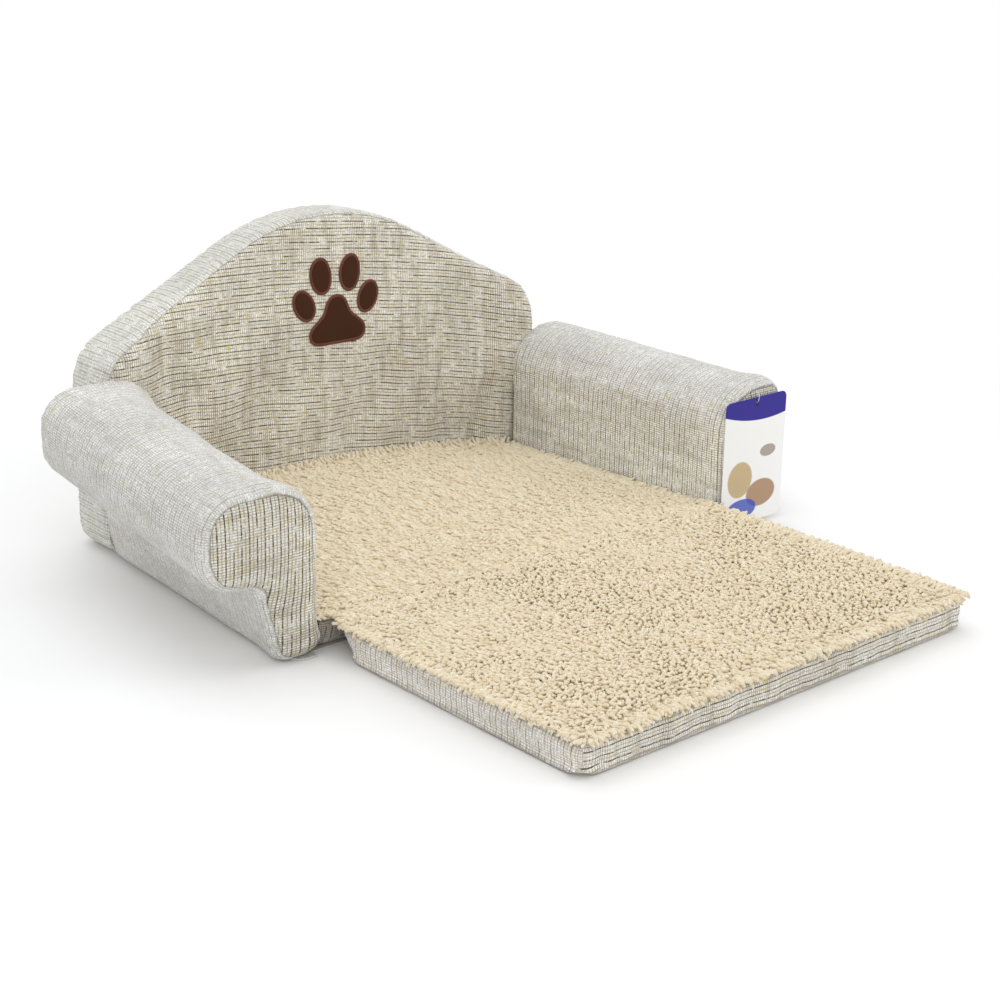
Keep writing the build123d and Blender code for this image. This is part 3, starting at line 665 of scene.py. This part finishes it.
def makePad(name, label, outline, body, look):
    nodes = [f"{label}_foam", f"{label}_boxing"]
    piece = skinOf(name, nodes, look["voxel"])
    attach(piece, body)
    swelling = ()
    if label == "panel":
        x, y, z = readPoints(piece).T
        held = drop(z, 0.005, 0.011) + fade(z - 0.031, 0.003) + smooth(y, foldLine - 0.05, foldLine - 0.03)
        sides = smooth(abs(x), 0.235, 0.242)
        cap = np.where(z > 0.031, 0.0008, look["swell"] * (1 - sides) + look["sideSwell"] * sides)
        swelling = np.clip(held, 0, 1), cap[:, None]
    rest = puff(piece, *swelling)
    x, y, z = rest.T
    along, inset, length = alongOutline(rest[:, :2], outline)
    co, normals = readPoints(piece), readPoints(piece, "normal")
    side = fade(inset, 0.012) * (z < 0.033)
    waves = ripples(along[:, None], 0.055, 23) * side * (z > 0.004)
    shift = look["wave"] * waves * (0.35 + 0.65 * drop(abs(x), 0.235, 0.242))
    co = co + normals * shift[:, None] * drop(y, foldLine - 0.05, foldLine - 0.03)[:, None]
    co[:, 2] = np.clip(co[:, 2], 0.0016, 0.0335) + 0.0018 * smooth(z, 0.029, 0.0315) * smooth(inset, 0.002, 0.008)
    if label == "seat":
        co[:, 2] += np.minimum(seatRise(co[:, 0], co[:, 1]), 0) * smooth(z, 0.015, 0.031)
    if label == "panel":
        wide, front = look["cornerAt"]
        corner = np.column_stack([abs(co[:, 0]) - wide, foldLine - front - co[:, 1]])  # the front corners stand out
        turn = np.arctan2(*np.maximum(corner, 0).T)
        grown = np.maximum(corner, 0) * (look["corner"] * np.sin(2 * turn) ** 2)[:, None]
        co[:, 0] += np.sign(co[:, 0]) * grown[:, 0]
        co[:, 1] -= grown[:, 1]
        low = np.nonzero((inset < 0.014) & (z < 0.012))[0]  # the lower edge is squarer than its skin
        turned = outward(rest[low, :2], outline)
        rear = smooth(y[low], foldLine - 0.06, foldLine - 0.02) * np.sin(2 * turned) ** 2
        push = look["push"] * np.clip(inset[low], 0, 0.0085) * drop(z[low], 0.004, 0.012) * (1 + 0.4 * rear)
        co[low, 0] += push * np.cos(turned)
        co[low, 1] += push * np.sin(turned)
        co[low, 2] -= 0.0013 * drop(inset[low] - push, 0.003, 0.0055) * drop(z[low], 0.002, 0.008)
    writePoints(piece, co)
    top, bottom = z - look["seams"][0], look["seams"][1] - z
    addAttribute(piece, "seam", np.where(inset < 0.02, np.where(abs(top) < abs(bottom), top, bottom), 0.01))
    # painted shade: the seat pad's bands get a darkened tweed for the shaded corner beside the arms' feet
    bands = ("nookShade", "nookShade") if label == "seat" else ("band", "bandSide")
    setMaterials(piece, [cloths[cloth] for cloth in ("ground", *bands)])
    flank = smooth(abs(x), 0.238, 0.2385)
    sewWeave(piece, (z, inset, flank),
             lambda h, i, f: np.where((h > 0.0305) | ((i > 0.012) & (h > 0.02)), 0, np.where(f > 0.5, 2, 1)),
             ((x, y, None), (along, z, 0), (z, along, 1)), length)
    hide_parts(*nodes)


# Chenille pile: one noodle is modelled and copied, bent and laid over

noodleLook = {"sides": 5, "rings": ((0.44, 1.05), (0.36, 1.0), (0.15, 0.64)), "tip": 0.05,
              "radius": (0.00132, 0.00180), "length": (0.0100, 0.0145), "rows": 0.0039, "stitch": 0.0031,
              "ground": 0.0325, "cloth": 0.0352, "under": 0.018, "crown": 0.0391, "swirl": 0.6, "stray": 0.27,
              "bend": 0.5, "keep": 0.22, "margin": 0.0012, "waver": 0.0016, "jitter": 0.16,
              "aim": {"seat": math.pi - 0.15, "panel": -2.95}, "loose": {"seat": 2.3, "panel": 0.55},
              "droop": {"seat": (0.0, 0.7), "panel": (-0.15, 0.55)}}


def modelNoodle(look):
    bpy.ops.mesh.primitive_circle_add(vertices=look["sides"], radius=1, fill_type="NGON")
    noodle = bpy.context.object
    editAll(noodle)
    for rise, narrow in look["rings"]:
        bpy.ops.mesh.extrude_region_move(TRANSFORM_OT_translate={"value": (0, 0, rise)})
        bpy.ops.transform.resize(value=(narrow, narrow, 1))
    bpy.ops.mesh.poke(offset=look["tip"])
    bpy.ops.object.mode_set(mode="OBJECT")
    turnOutward(noodle)
    return noodle


def closeStrips(rows, count, loops=False):
    faces = []
    for r in range(rows if loops else rows - 1):
        for k in range(count):
            a, b = r * count + k, r * count + (k + 1) % count
            below = (r + 1) % rows * count
            faces.append((a, b, below + (k + 1) % count, below + k))
    return faces


def domeOf(name, rings, top, under):  # rings run from the rim inwards, with a point above and one below
    rows, count = len(rings), len(rings[0])
    verts = [spot for ring in rings for spot in ring] + [top, under]
    faces = closeStrips(rows, count)
    for k in range(count):
        after = (k + 1) % count
        faces += [((rows - 1) * count + k, (rows - 1) * count + after, rows * count), (after, k, rows * count + 1)]
    mesh = bpy.data.meshes.new(name)
    mesh.from_pydata(verts, [], faces)
    return mesh


def turnOutward(piece):
    editAll(piece)
    bpy.ops.mesh.normals_make_consistent(inside=False)
    bpy.ops.object.mode_set(mode="OBJECT")
    piece.data.shade_smooth()


def layNoodles(name, noodle, spots, strands, rng, body, limit=None):
    heading, rise, fall, length, lift, radius, bend = (values[:, None] for values in strands)
    shape, count = readPoints(noodle), len(spots)
    along = shape[:, 2] / shape[:, 2].max()
    turn = fall - rise
    slope = rise + turn * along
    reach = length * (np.sin(slope) - np.sin(rise)) / turn
    height = length * (np.cos(rise) - np.cos(slope)) / turn
    crest = length * (np.cos(np.maximum(fall, 0)) - np.cos(rise)) / np.abs(turn)
    height = np.where(height > 0, height * (lift / np.maximum(crest, 1e-6)), height)
    yaw, halfway = heading + bend * along, heading + bend * along * 0.5
    centre = np.stack([reach * np.cos(halfway), reach * np.sin(halfway), height], 2) + spots[:, None]
    tangent = np.stack([np.cos(slope) * np.cos(yaw), np.cos(slope) * np.sin(yaw), np.sin(slope)], 2)
    side = np.stack([-np.sin(yaw), np.cos(yaw), np.zeros_like(yaw)], 2)
    upper = np.cross(tangent, side)
    twist = rng.uniform(0, math.tau, count)[:, None]
    a = shape[:, 0] * np.cos(twist) - shape[:, 1] * np.sin(twist)
    b = shape[:, 0] * np.sin(twist) + shape[:, 1] * np.cos(twist)
    co = (centre + radius[..., None] * (a[..., None] * side + b[..., None] * upper)).reshape(-1, 3)
    if limit:
        co = limit(co)
    loops, totals = readLoops(noodle.data)
    laid = bpy.data.meshes.new(name)
    laid.vertices.add(len(co))
    laid.vertices.foreach_set("co", co.ravel())
    starts = np.arange(count)[:, None] * len(shape)
    laid.loops.add(len(loops) * count)
    laid.loops.foreach_set("vertex_index", (starts + loops).ravel().astype(np.int32))
    laid.polygons.add(len(totals) * count)
    firsts = np.concatenate([[0], np.cumsum(np.tile(totals, count))[:-1]])
    laid.polygons.foreach_set("loop_start", firsts.astype(np.int32))
    laid.update(calc_edges=True)
    laid.validate()
    laid.shade_smooth()
    piece = addPiece(name, laid, cloths["pile"], body)
    addAttribute(piece, "tip", np.tile(along, count))
    addAttribute(piece, "tone", np.repeat(rng.uniform(0, 1, count) ** 2, len(shape)))
    return piece


def tuftRows(low, high, look, rng):  # tufting rows run across the panel and waver a little
    xs, ys = np.arange(low[0], high[0], look["stitch"]), np.arange(low[1], high[1], look["rows"])
    grid = np.stack(np.meshgrid(xs, ys), 2)
    grid[1::2, :, 0] += look["stitch"] / 2
    spots = grid.reshape(-1, 2)
    waver = np.column_stack([ripples(spots, 0.06, 91), ripples(spots, 0.08, 92)]) * look["waver"]
    return spots + waver + rng.normal(0, look["jitter"], spots.shape) * look["stitch"]


def outward(points, outline):
    step = 0.0005
    right, left, rear, front = (alongOutline(points + shift, outline)[1]
                                for shift in ((step, 0), (-step, 0), (0, step), (0, -step)))
    return np.arctan2(front - rear, left - right)


def pileOver(label, noodle, outline, body, look, seed, limit, upright=None):
    rng = np.random.default_rng(seed)
    spots = tuftRows(outline.min(0), outline.max(0), look, rng)
    inset = alongOutline(spots, outline)[1]
    spots, inset = spots[inset > look["margin"]], inset[inset > look["margin"]]
    count = len(spots)
    swirl = ripples(spots, 0.22, seed + 1) + 0.5 * ripples(spots, 0.06, seed + 2)
    heading = look["swirl"] * swirl + look["aim"][label] + rng.normal(0, look["stray"], count)
    edge = drop(inset, 0.004, 0.028) * (abs(spots[:, 1] - foldLine) > 0.02)
    heading = np.where(edge > rng.uniform(0, 1, count), outward(spots, outline) + rng.normal(0, 0.35, count), heading)
    radius = rng.uniform(*look["radius"], count)
    length = rng.uniform(*look["length"], count)
    clumps = ripples(spots, 0.020, seed + 3)
    loose = look["loose"][label] * (rng.uniform(0, 0.0010, count) + 0.0006 * np.clip(clumps + 0.6, 0, 1.6))
    lift = (look["crown"] - look["ground"] - 0.0004 - loose) * (1 - 0.15 * edge)
    rise, fall = rng.uniform(1.2, 1.55, count), rng.uniform(*look["droop"][label], count)
    fall = np.where(edge > 0.5, rng.uniform(-0.9, 0.1, count), fall)
    if upright:
        lift, rise, fall = upright(spots, lift, rise, fall, rng)
    base = np.column_stack([spots, np.full(count, look["ground"] - 0.0006)])
    lift = np.where(fall > 0, lift - radius * np.sin(np.maximum(fall, 0)) * 0.4, lift - radius)
    order = np.argsort(spots[:, 0])
    pieces = []
    # small enough to export
    for part, chosen in zip(("Left", "Middle", "Right"), np.array_split(order, 3)):  # three smaller pieces, from left to right
        strands = [values[chosen] for values in (heading, rise, fall, length, lift, radius)]
        strands.append(rng.normal(0, look["bend"], len(chosen)))
        pieces.append(layNoodles(f"{label}Pile{part}", noodle, base[chosen], strands, rng, body, limit))
    return pieces


fringeLook = {"spacing": (0.0020, 0.0038), "under": (0.003, 0.006), "turn": 0.4, "rise": (0.2, 0.9),
              "fall": (-1.1, -0.2), "length": (0.009, 0.013), "lift": (0.0010, 0.0026)}


def fringePanel(noodle, outline, look, fringe, seed):
    rng = np.random.default_rng(seed)
    ends, lengths, starts = edgesOf(outline)
    along = np.cumsum(rng.uniform(*fringe["spacing"], 1000))
    along = along[along < lengths.sum()]
    index = np.searchsorted(starts, along, side="right") - 1
    spots = outline[index] + ends[index] * ((along - starts[index]) / lengths[index])[:, None]
    normal = np.column_stack([ends[index, 1], -ends[index, 0]]) / lengths[index][:, None]
    spots = spots - normal * rng.uniform(*fringe["under"], len(spots))[:, None]
    free = spots[:, 1] < foldLine - 0.012  # the crease has noodles of its own
    spots, normal = spots[free], normal[free]
    count = len(spots)
    heading = np.arctan2(normal[:, 1], normal[:, 0]) + rng.normal(0, fringe["turn"], count)
    base = np.column_stack([spots, np.full(count, look["ground"] - 0.0004)])
    spans = (*(fringe[key] for key in ("rise", "fall", "length", "lift")), look["radius"])
    strands = [heading, *(rng.uniform(*span, count) for span in spans), rng.normal(0, look["bend"], count)]
    layNoodles("panelFringe", noodle, base, strands, rng, "fold_panel", panelLimit)


def panelLimit(co):  # the folded panel's pile has to pass between the arms
    room = np.minimum(0.2545, armInner(2 * foldLine - co[:, 1]) - 0.0009)
    co[:, 0] = np.clip(co[:, 0], -room, room)
    co[:, 2] = np.minimum(co[:, 2], 0.0392)
    return co


seatHeights = ((-0.26, -0.16, -0.05, 0.05, 0.12, 0.18, 0.25), (0.004, 0.013, 0.015, 0.012, 0.006, -0.002, -0.009))


def seatRise(x, y):  # the soft seat stands higher at its back and is pulled down beside the arms
    across = np.interp(x, *seatHeights)
    run = smooth(y, -0.13, 0.15)
    edge = -0.006 * smooth(np.abs(x), 0.19, 0.25) * (1 - run)
    return (across * run + edge) * smooth(y, foldLine, foldLine + 0.05)


def seatLimit(co):  # the seat's pile stays between the arms and in front of the back
    co[:, 2] += seatRise(co[:, 0], co[:, 1])
    room = armInner(co[:, 1]) - 0.0007
    co[:, 0] = np.clip(co[:, 0], -room, room)
    co[:, 1] = np.minimum(co[:, 1], backFront(co[:, 0]) - 0.0006)
    return co


def seatUpright(spots, lift, rise, fall, rng):  # the last rows stand up against the back
    rear, count = spots[:, 1] > 0.1545, len(spots)
    lift = np.where(rear, lift + rng.uniform(0.001, 0.005, count), lift)
    rise = np.where(rear, rng.uniform(1.2, 1.5, count), rise)
    return lift, rise, np.where(rear, rng.uniform(0.2, 0.9, count), fall)


def makeFill(outline, look):  # the seat's fullness under the pile, on top of the flat pad
    rings = [[(x, y, look["under"]) for x, y in outline * 0.997]]
    for share in np.linspace(1.0, 0.04, 25):
        x, y = (outline * share).T
        rings.append(list(zip(x, y, look["cloth"] - 0.0008 + seatRise(x, y))))
    mesh = domeOf("seatFill", rings, (0, 0, rings[-1][0][2]), (0, 0, look["under"]))
    piece = addPiece("seatFill", mesh, cloths["ground"])
    turnOutward(piece)
    return piece


creaseLook = {"low": (-0.247, foldLine - 0.0085), "high": (0.247, foldLine + 0.0095), "base": 0.0345, "top": 0.0408,
              "turn": 0.6, "bend": 0.6, "rise": (1.2, 1.5), "fall": (0.0, 0.6)}


def creasePile(noodle, look, crease, seed):
    rng = np.random.default_rng(seed)
    spots = tuftRows(crease["low"], crease["high"], look, rng)
    count, away = len(spots), np.abs(spots[:, 1] - foldLine)
    heading = rng.normal(-math.pi / 2, crease["turn"], count)
    base = np.column_stack([spots, crease["base"] - away * 0.18])
    radius = rng.uniform(*look["radius"], count)
    lift = crease["top"] - 0.0022 * away / 0.0085 - base[:, 2] - radius - rng.uniform(0, 0.0012, count)
    rise, fall, length = (rng.uniform(*span, count) for span in (crease["rise"], crease["fall"], look["length"]))
    strands = [heading, rise, fall, length, lift, radius, rng.normal(0, crease["bend"], count)]
    piece = layNoodles("creasePile", noodle, base, strands, rng, None)
    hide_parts("fold_hem")
    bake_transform(piece)


makeFloor(viewLook)
cloths = {  # tweeds: name, contrast, tint, shade of the seams, cover of the dark dashes
    "back": tweedMaterial("tweedFace", 1.12, (1.04, 1.05, 1.06), 0.35),
    "rear": tweedMaterial("tweedRear"),
    "gusset": tweedMaterial("tweedGusset", 0.55, (0.97, 1.0, 1.03), 0.35),
    "arm": tweedMaterial("tweedWrap", 0.50, (0.915, 0.94, 0.99)),
    "armEnd": tweedMaterial("tweedEnd", 1.1, (0.96, 0.975, 0.99), 0.6, 0.05),
    "band": tweedMaterial("tweedBand", 1.05, (1.03, 1.04, 1.07), 0.4, 0.08),
    "bandSide": tweedMaterial("tweedBandSide", 0.68, (1.01, 1.01, 1.04), 0.4),
    # painted shade: a dark tint on the seat pad's band, which lies in shade beside the arms' feet
    "nookShade": tweedMaterial("tweedNookShade", 1.1, (0.62, 0.60, 0.61), 0.4),
    # painted light: the ground under the noodles is paler than the noodles, which lifts the shade in the gaps between
    # them
    "ground": plainMaterial("pileGround", (0.98, 0.85, 0.62), 0.95, grain=900.0, height=0.0006, spread=0.3),
    # painted light: the noodles' roots are paler than their tips, which lifts the shade low in the pile
    "pile": pileMaterial("pile", (0.90, 0.77, 0.55), (0.80, 0.685, 0.487), (0.90, 0.82, 0.65))}
print("cloths ready")

back = makeBack(backLook)
print("back cushion ready")
makeArm("left", -1, armLook)
makeArm("right", 1, armLook)
print("arms ready")
makePad("seatPad", "seat", seatOutline, "sofa", panelLook)
makePad("panelPad", "panel", panelOutline, "fold_panel", panelLook)
print("seat and fold-out pads ready")
noodle = modelNoodle(noodleLook)
seatPile = pileOver("seat", noodle, seatOutline, "sofa", noodleLook, 41, seatLimit, seatUpright)
panelPile = pileOver("panel", noodle, panelOutline, "fold_panel", noodleLook, 57, panelLimit)
fringePanel(noodle, panelOutline, noodleLook, fringeLook, 63)
for piece in (*seatPile, makeFill(roundedOutline(fillCorners, 0.008), noodleLook)):  # each gets a mesh of its own
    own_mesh(piece)
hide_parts("seat_pile")
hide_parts("panel_pile")
creasePile(noodle, noodleLook, creaseLook, 71)
bpy.data.objects.remove(noodle)
print("pile laid")


# The badge: felt pieces laid on the swollen face, each with a satin-stitched edge

badgeLook = {"pieces": ("paw_pad", "paw_toe_1", "paw_toe_2", "paw_toe_3", "paw_toe_4"), "thick": 0.0013,
             "border": 0.0018, "stitch": 0.0005, "ease": 8.0, "points": 220, "fit": {"paw_pad": (0.96, 0.0015)},
             "section": ((1.0, 0.0), (0.985, 0.7), (0.93, 1.0), (0.8, 1.05), (0.55, 1.15), (0.3, 1.2)),
             "reach": 30, "bulge": 0.0009, "sides": 8}


def surfaceBelow(piece):
    tree = BVHTree.FromObject(piece, bpy.context.evaluated_depsgraph_get())

    def depth(x, z):
        hit = tree.ray_cast(Vector((x, 0.10, z)), Vector((0, 1, 0)), 0.12)
        return hit[0].y if hit[0] is not None else backFace
    return depth


def feltOutline(node, look):  # the felt's own edge, evenly spaced and eased as a sewn edge is
    flat = readPoints(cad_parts[node])
    rim = flat[flat[:, 1] < flat[:, 1].min() + 0.0001][:, [0, 2]]
    middle = (rim.min(0) + rim.max(0)) / 2
    rim = rim[np.argsort(np.arctan2(rim[:, 1] - middle[1], rim[:, 0] - middle[0]))]
    steps = np.linalg.norm(np.roll(rim, -1, 0) - rim, axis=1)
    rim, steps = rim[steps > 0.00001], steps[steps > 0.00001]
    places = np.concatenate([[0], np.cumsum(steps)])
    even = np.linspace(0, places[-1], look["points"], endpoint=False)
    ring = np.column_stack([np.interp(even, places, np.append(rim[:, k], rim[0, k])) for k in (0, 1)])
    shifts = np.arange(-look["reach"], look["reach"] + 1)
    window = fade(shifts, look["ease"])
    eased = np.stack([np.roll(ring, shift, 0) for shift in shifts], 0)
    share, rise = look["fit"].get(node, (1.0, 0.0))
    ring = (eased * (window / window.sum())[:, None, None]).sum(0)
    return middle + (ring - middle) * share + (0, rise), middle


def makeFelt(node, depth, look):
    ring, middle = feltOutline(node, look)
    rings = [[(x, depth(x, z) - thick * look["thick"], z) for x, z in middle + (ring - middle) * share]
             for share, thick in look["section"]]
    top, under = ((middle[0], depth(*middle) - thick, middle[1]) for thick in (look["thick"] * 1.25, -0.001))
    mesh = domeOf(node, rings, top, under)
    felt = addPiece("felt" + node.title().replace("_", ""), mesh, cloths["felt"])
    turnOutward(felt)
    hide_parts(node)
    line = [Vector((x, depth(x, z) - look["thick"] * 0.6, z)) for x, z in ring]
    sections, verts, runs, run = look["sides"], [], [], 0.0
    for i, spot in enumerate(line):
        after = line[(i + 1) % len(line)]
        across = (after - line[i - 1]).normalized().cross(Vector((0, 1, 0))).normalized()
        for k in range(sections):
            turn = math.tau * k / sections
            sideways, outwards = math.cos(turn) * look["border"], math.sin(turn) * look["bulge"]
            verts.append(spot + across * sideways + Vector((0, -1, 0)) * outwards)
            runs.append(run)
        run += (after - spot).length
    mesh = bpy.data.meshes.new(felt.name + "Edge")
    mesh.from_pydata(verts, [], closeStrips(len(line), sections, loops=True))
    edge = addPiece(felt.name + "Edge", mesh, cloths["satin"])
    turnOutward(edge)
    addAttribute(edge, "run", runs)


def satinMaterial(look):
    material = startMaterial("satin")
    run = attribute("run")
    threads = (run * (math.tau / look["stitch"]) + noise(placeOf(), 300.0, 2.0) * 2.0).maths("SINE")
    colour = mix(threads.ease(-1, 1), (0.13, 0.038, 0.023), (0.31, 0.105, 0.068))
    return finishMaterial(material, {"Base Color": colour, "Normal": bump(threads, 0.00025)},
                          {"Roughness": 0.5, "Specular IOR Level": 0.3})


cloths["felt"] = plainMaterial("felt", (0.053, 0.0185, 0.0080), 0.95, grain=2200.0, height=0.0004, spread=0.35,
                               **{"Sheen Weight": 0.06, "Sheen Roughness": 0.5, "Specular IOR Level": 0.1})
cloths["satin"] = satinMaterial(badgeLook)
depth = surfaceBelow(back)
for node in badgeLook["pieces"]:
    makeFelt(node, depth, badgeLook)
print("badge ready")


# Tag, zip and undersides

tagLook = {"middle": 0.302, "half": 0.047, "header": (0.1185, 0.026, 0.016, 0.25),  # height, then its colour
           "ovals": (((-0.020, 0.056), 0.020, 0.021, (0.50, 0.36, 0.17)),  # place, half width, half height, colour
                     ((0.014, 0.036), 0.024, 0.016, (0.36, 0.20, 0.09)),
                     ((-0.016, 0.022), 0.025, 0.012, (0.035, 0.075, 0.46)),
                     ((0.022, 0.082), 0.013, 0.007, (0.33, 0.28, 0.24)))}


def tagMaterial(look):
    material = startMaterial("tagPrint")
    x, y, z = placeOf().parts()
    across = (x - look["middle"]) * (1 / look["half"])
    head = (z - look["header"][0] - across * across * 0.006 + across * 0.004).ease(0.0, 0.0008)
    paper = noise(placeOf(), 900.0, 3.0)
    colour = mix(paper, (0.80, 0.80, 0.79), (0.88, 0.88, 0.87))
    for spot, wide, tall, paint in look["ovals"]:
        beside, above = (x - look["middle"] - spot[0]) * (1 / wide), (z - spot[1]) * (1 / tall)
        away = beside.maths("POWER", 2.0) + above.maths("POWER", 2.0)
        colour = mix(away.ease(0.8, 1.0, 0.9, 0.0), colour, paint)
    colour = mix(head, colour, look["header"][1:])
    return finishMaterial(material, {"Base Color": colour, "Normal": bump(paper, 0.00003)},
                          {"Roughness": 0.5, "Specular IOR Level": 0.25})


def makeLoop():
    low, high = (np.array(c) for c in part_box("tag_loop"))
    middle, size = (low + high) / 2, high - low
    bpy.ops.mesh.primitive_torus_add(major_radius=0.5, minor_radius=0.045, major_segments=64, minor_segments=10,
                                     rotation=(math.pi / 2, 0, math.pi / 2))
    loop = bpy.context.object
    loop.name = "tagLoop"
    bpy.ops.object.transform_apply(location=True, rotation=True, scale=True)
    co = readPoints(loop)
    co[:, 0] = co[:, 0] / 0.045 * 0.00055 + middle[0]
    for axis in (1, 2):
        co[:, axis] = co[:, axis] / 0.545 * size[axis] / 2 + middle[axis]
    writePoints(loop, co)
    loop.data.shade_smooth()
    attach(loop, "tag")
    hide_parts("tag_loop")
    material = startMaterial("clearLoop")
    cloudy = noise(placeOf(), 400.0, 2.0)
    colour = mix(cloudy, (0.80, 0.82, 0.84), (0.92, 0.93, 0.94))
    finishMaterial(material, {"Base Color": colour}, {"Roughness": 0.15, "Transmission Weight": 0.6})
    loop.data.materials.append(material)


def dottedMaterial():
    material = startMaterial("nonSlip")
    dots = Signal.node("ShaderNodeTexVoronoi", None, {"Vector": placeOf(), "Scale": 140.0, "Randomness": 0.0})
    weave = noise(placeOf(), 1500.0, 2.0)
    raised = dots.ease(0.28, 0.36, 1.0, 0.0)
    under = mix(raised, mix(weave, (0.018, 0.018, 0.02), (0.035, 0.035, 0.038)), (0.012, 0.012, 0.013))
    # painted shade: the sheet's upper side, which shows under the arms' feet, is a grey matched to the floor in shadow
    upper = mix(weave, (0.58, 0.56, 0.53), (0.72, 0.70, 0.67))
    colour = mix(placeOf().parts()[2] > 0.0002, under, upper)
    rough = raised.ease(0.0, 1.0, 0.9, 0.5)
    normal = bump(raised + weave * 0.2, 0.0005)
    return finishMaterial(material, {"Base Color": colour, "Roughness": rough, "Normal": normal}, {})


def makeUnderside(name, node, body):
    mesh = joinNodes(name, [node])
    sheet = addPiece(name, mesh, cloths["nonSlip"], body)
    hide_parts(node)


def setNode(node, material):
    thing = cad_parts[node]
    for slot in thing.material_slots:
        slot.material = material


zipLook = {"pitch": 0.0022, "run": 0.428, "tooth": (0.00135, 0.0018, 0.0042), "bevel": 0.00035,
           "at": (0.0, 0.2307, zipHeight)}


def makeTeeth(look, material):
    bpy.ops.mesh.primitive_cube_add(size=1, scale=look["tooth"])
    tooth = bpy.context.object
    bpy.ops.object.transform_apply(location=False, rotation=False, scale=True)
    editAll(tooth)
    bpy.ops.mesh.bevel(offset=look["bevel"], segments=1)
    bpy.ops.object.mode_set(mode="OBJECT")
    shape, faces = readPoints(tooth), [tuple(face.vertices) for face in tooth.data.polygons]
    places = np.arange(-look["run"] / 2, look["run"] / 2, look["pitch"])
    verts = np.concatenate([shape + look["at"] + (x, 0, 0) for x in places])
    mesh = bpy.data.meshes.new("zipTeeth")
    copies = [tuple(v + k * len(shape) for v in face) for k in range(len(places)) for face in faces]
    mesh.from_pydata(verts.tolist(), [], copies)
    addPiece("zipTeeth", mesh, material)
    bpy.data.objects.remove(tooth)


cloths["nonSlip"] = dottedMaterial()
makeUnderside("sofaUnderside", "sofa_sheet", "sofa")
makeUnderside("panelUnderside", "panel_sheet", "fold_panel")
setNode("swing_tag", tagMaterial(tagLook))
makeLoop()
setNode("zip_tape", plainMaterial("zipCloth", (0.50, 0.47, 0.40), 0.85, grain=1600.0, height=0.0003))
makeTeeth(zipLook, plainMaterial("zipCoil", (0.62, 0.60, 0.54), 0.45, grain=900.0, height=0.00005))
metal = plainMaterial("zipMetal", (0.60, 0.58, 0.55), 0.28, 1.0, grain=700.0, height=0.00004, spread=0.06)
setNode("zip_slider", metal)
setNode("zip_pull", metal)
print("tag, zip and undersides ready")
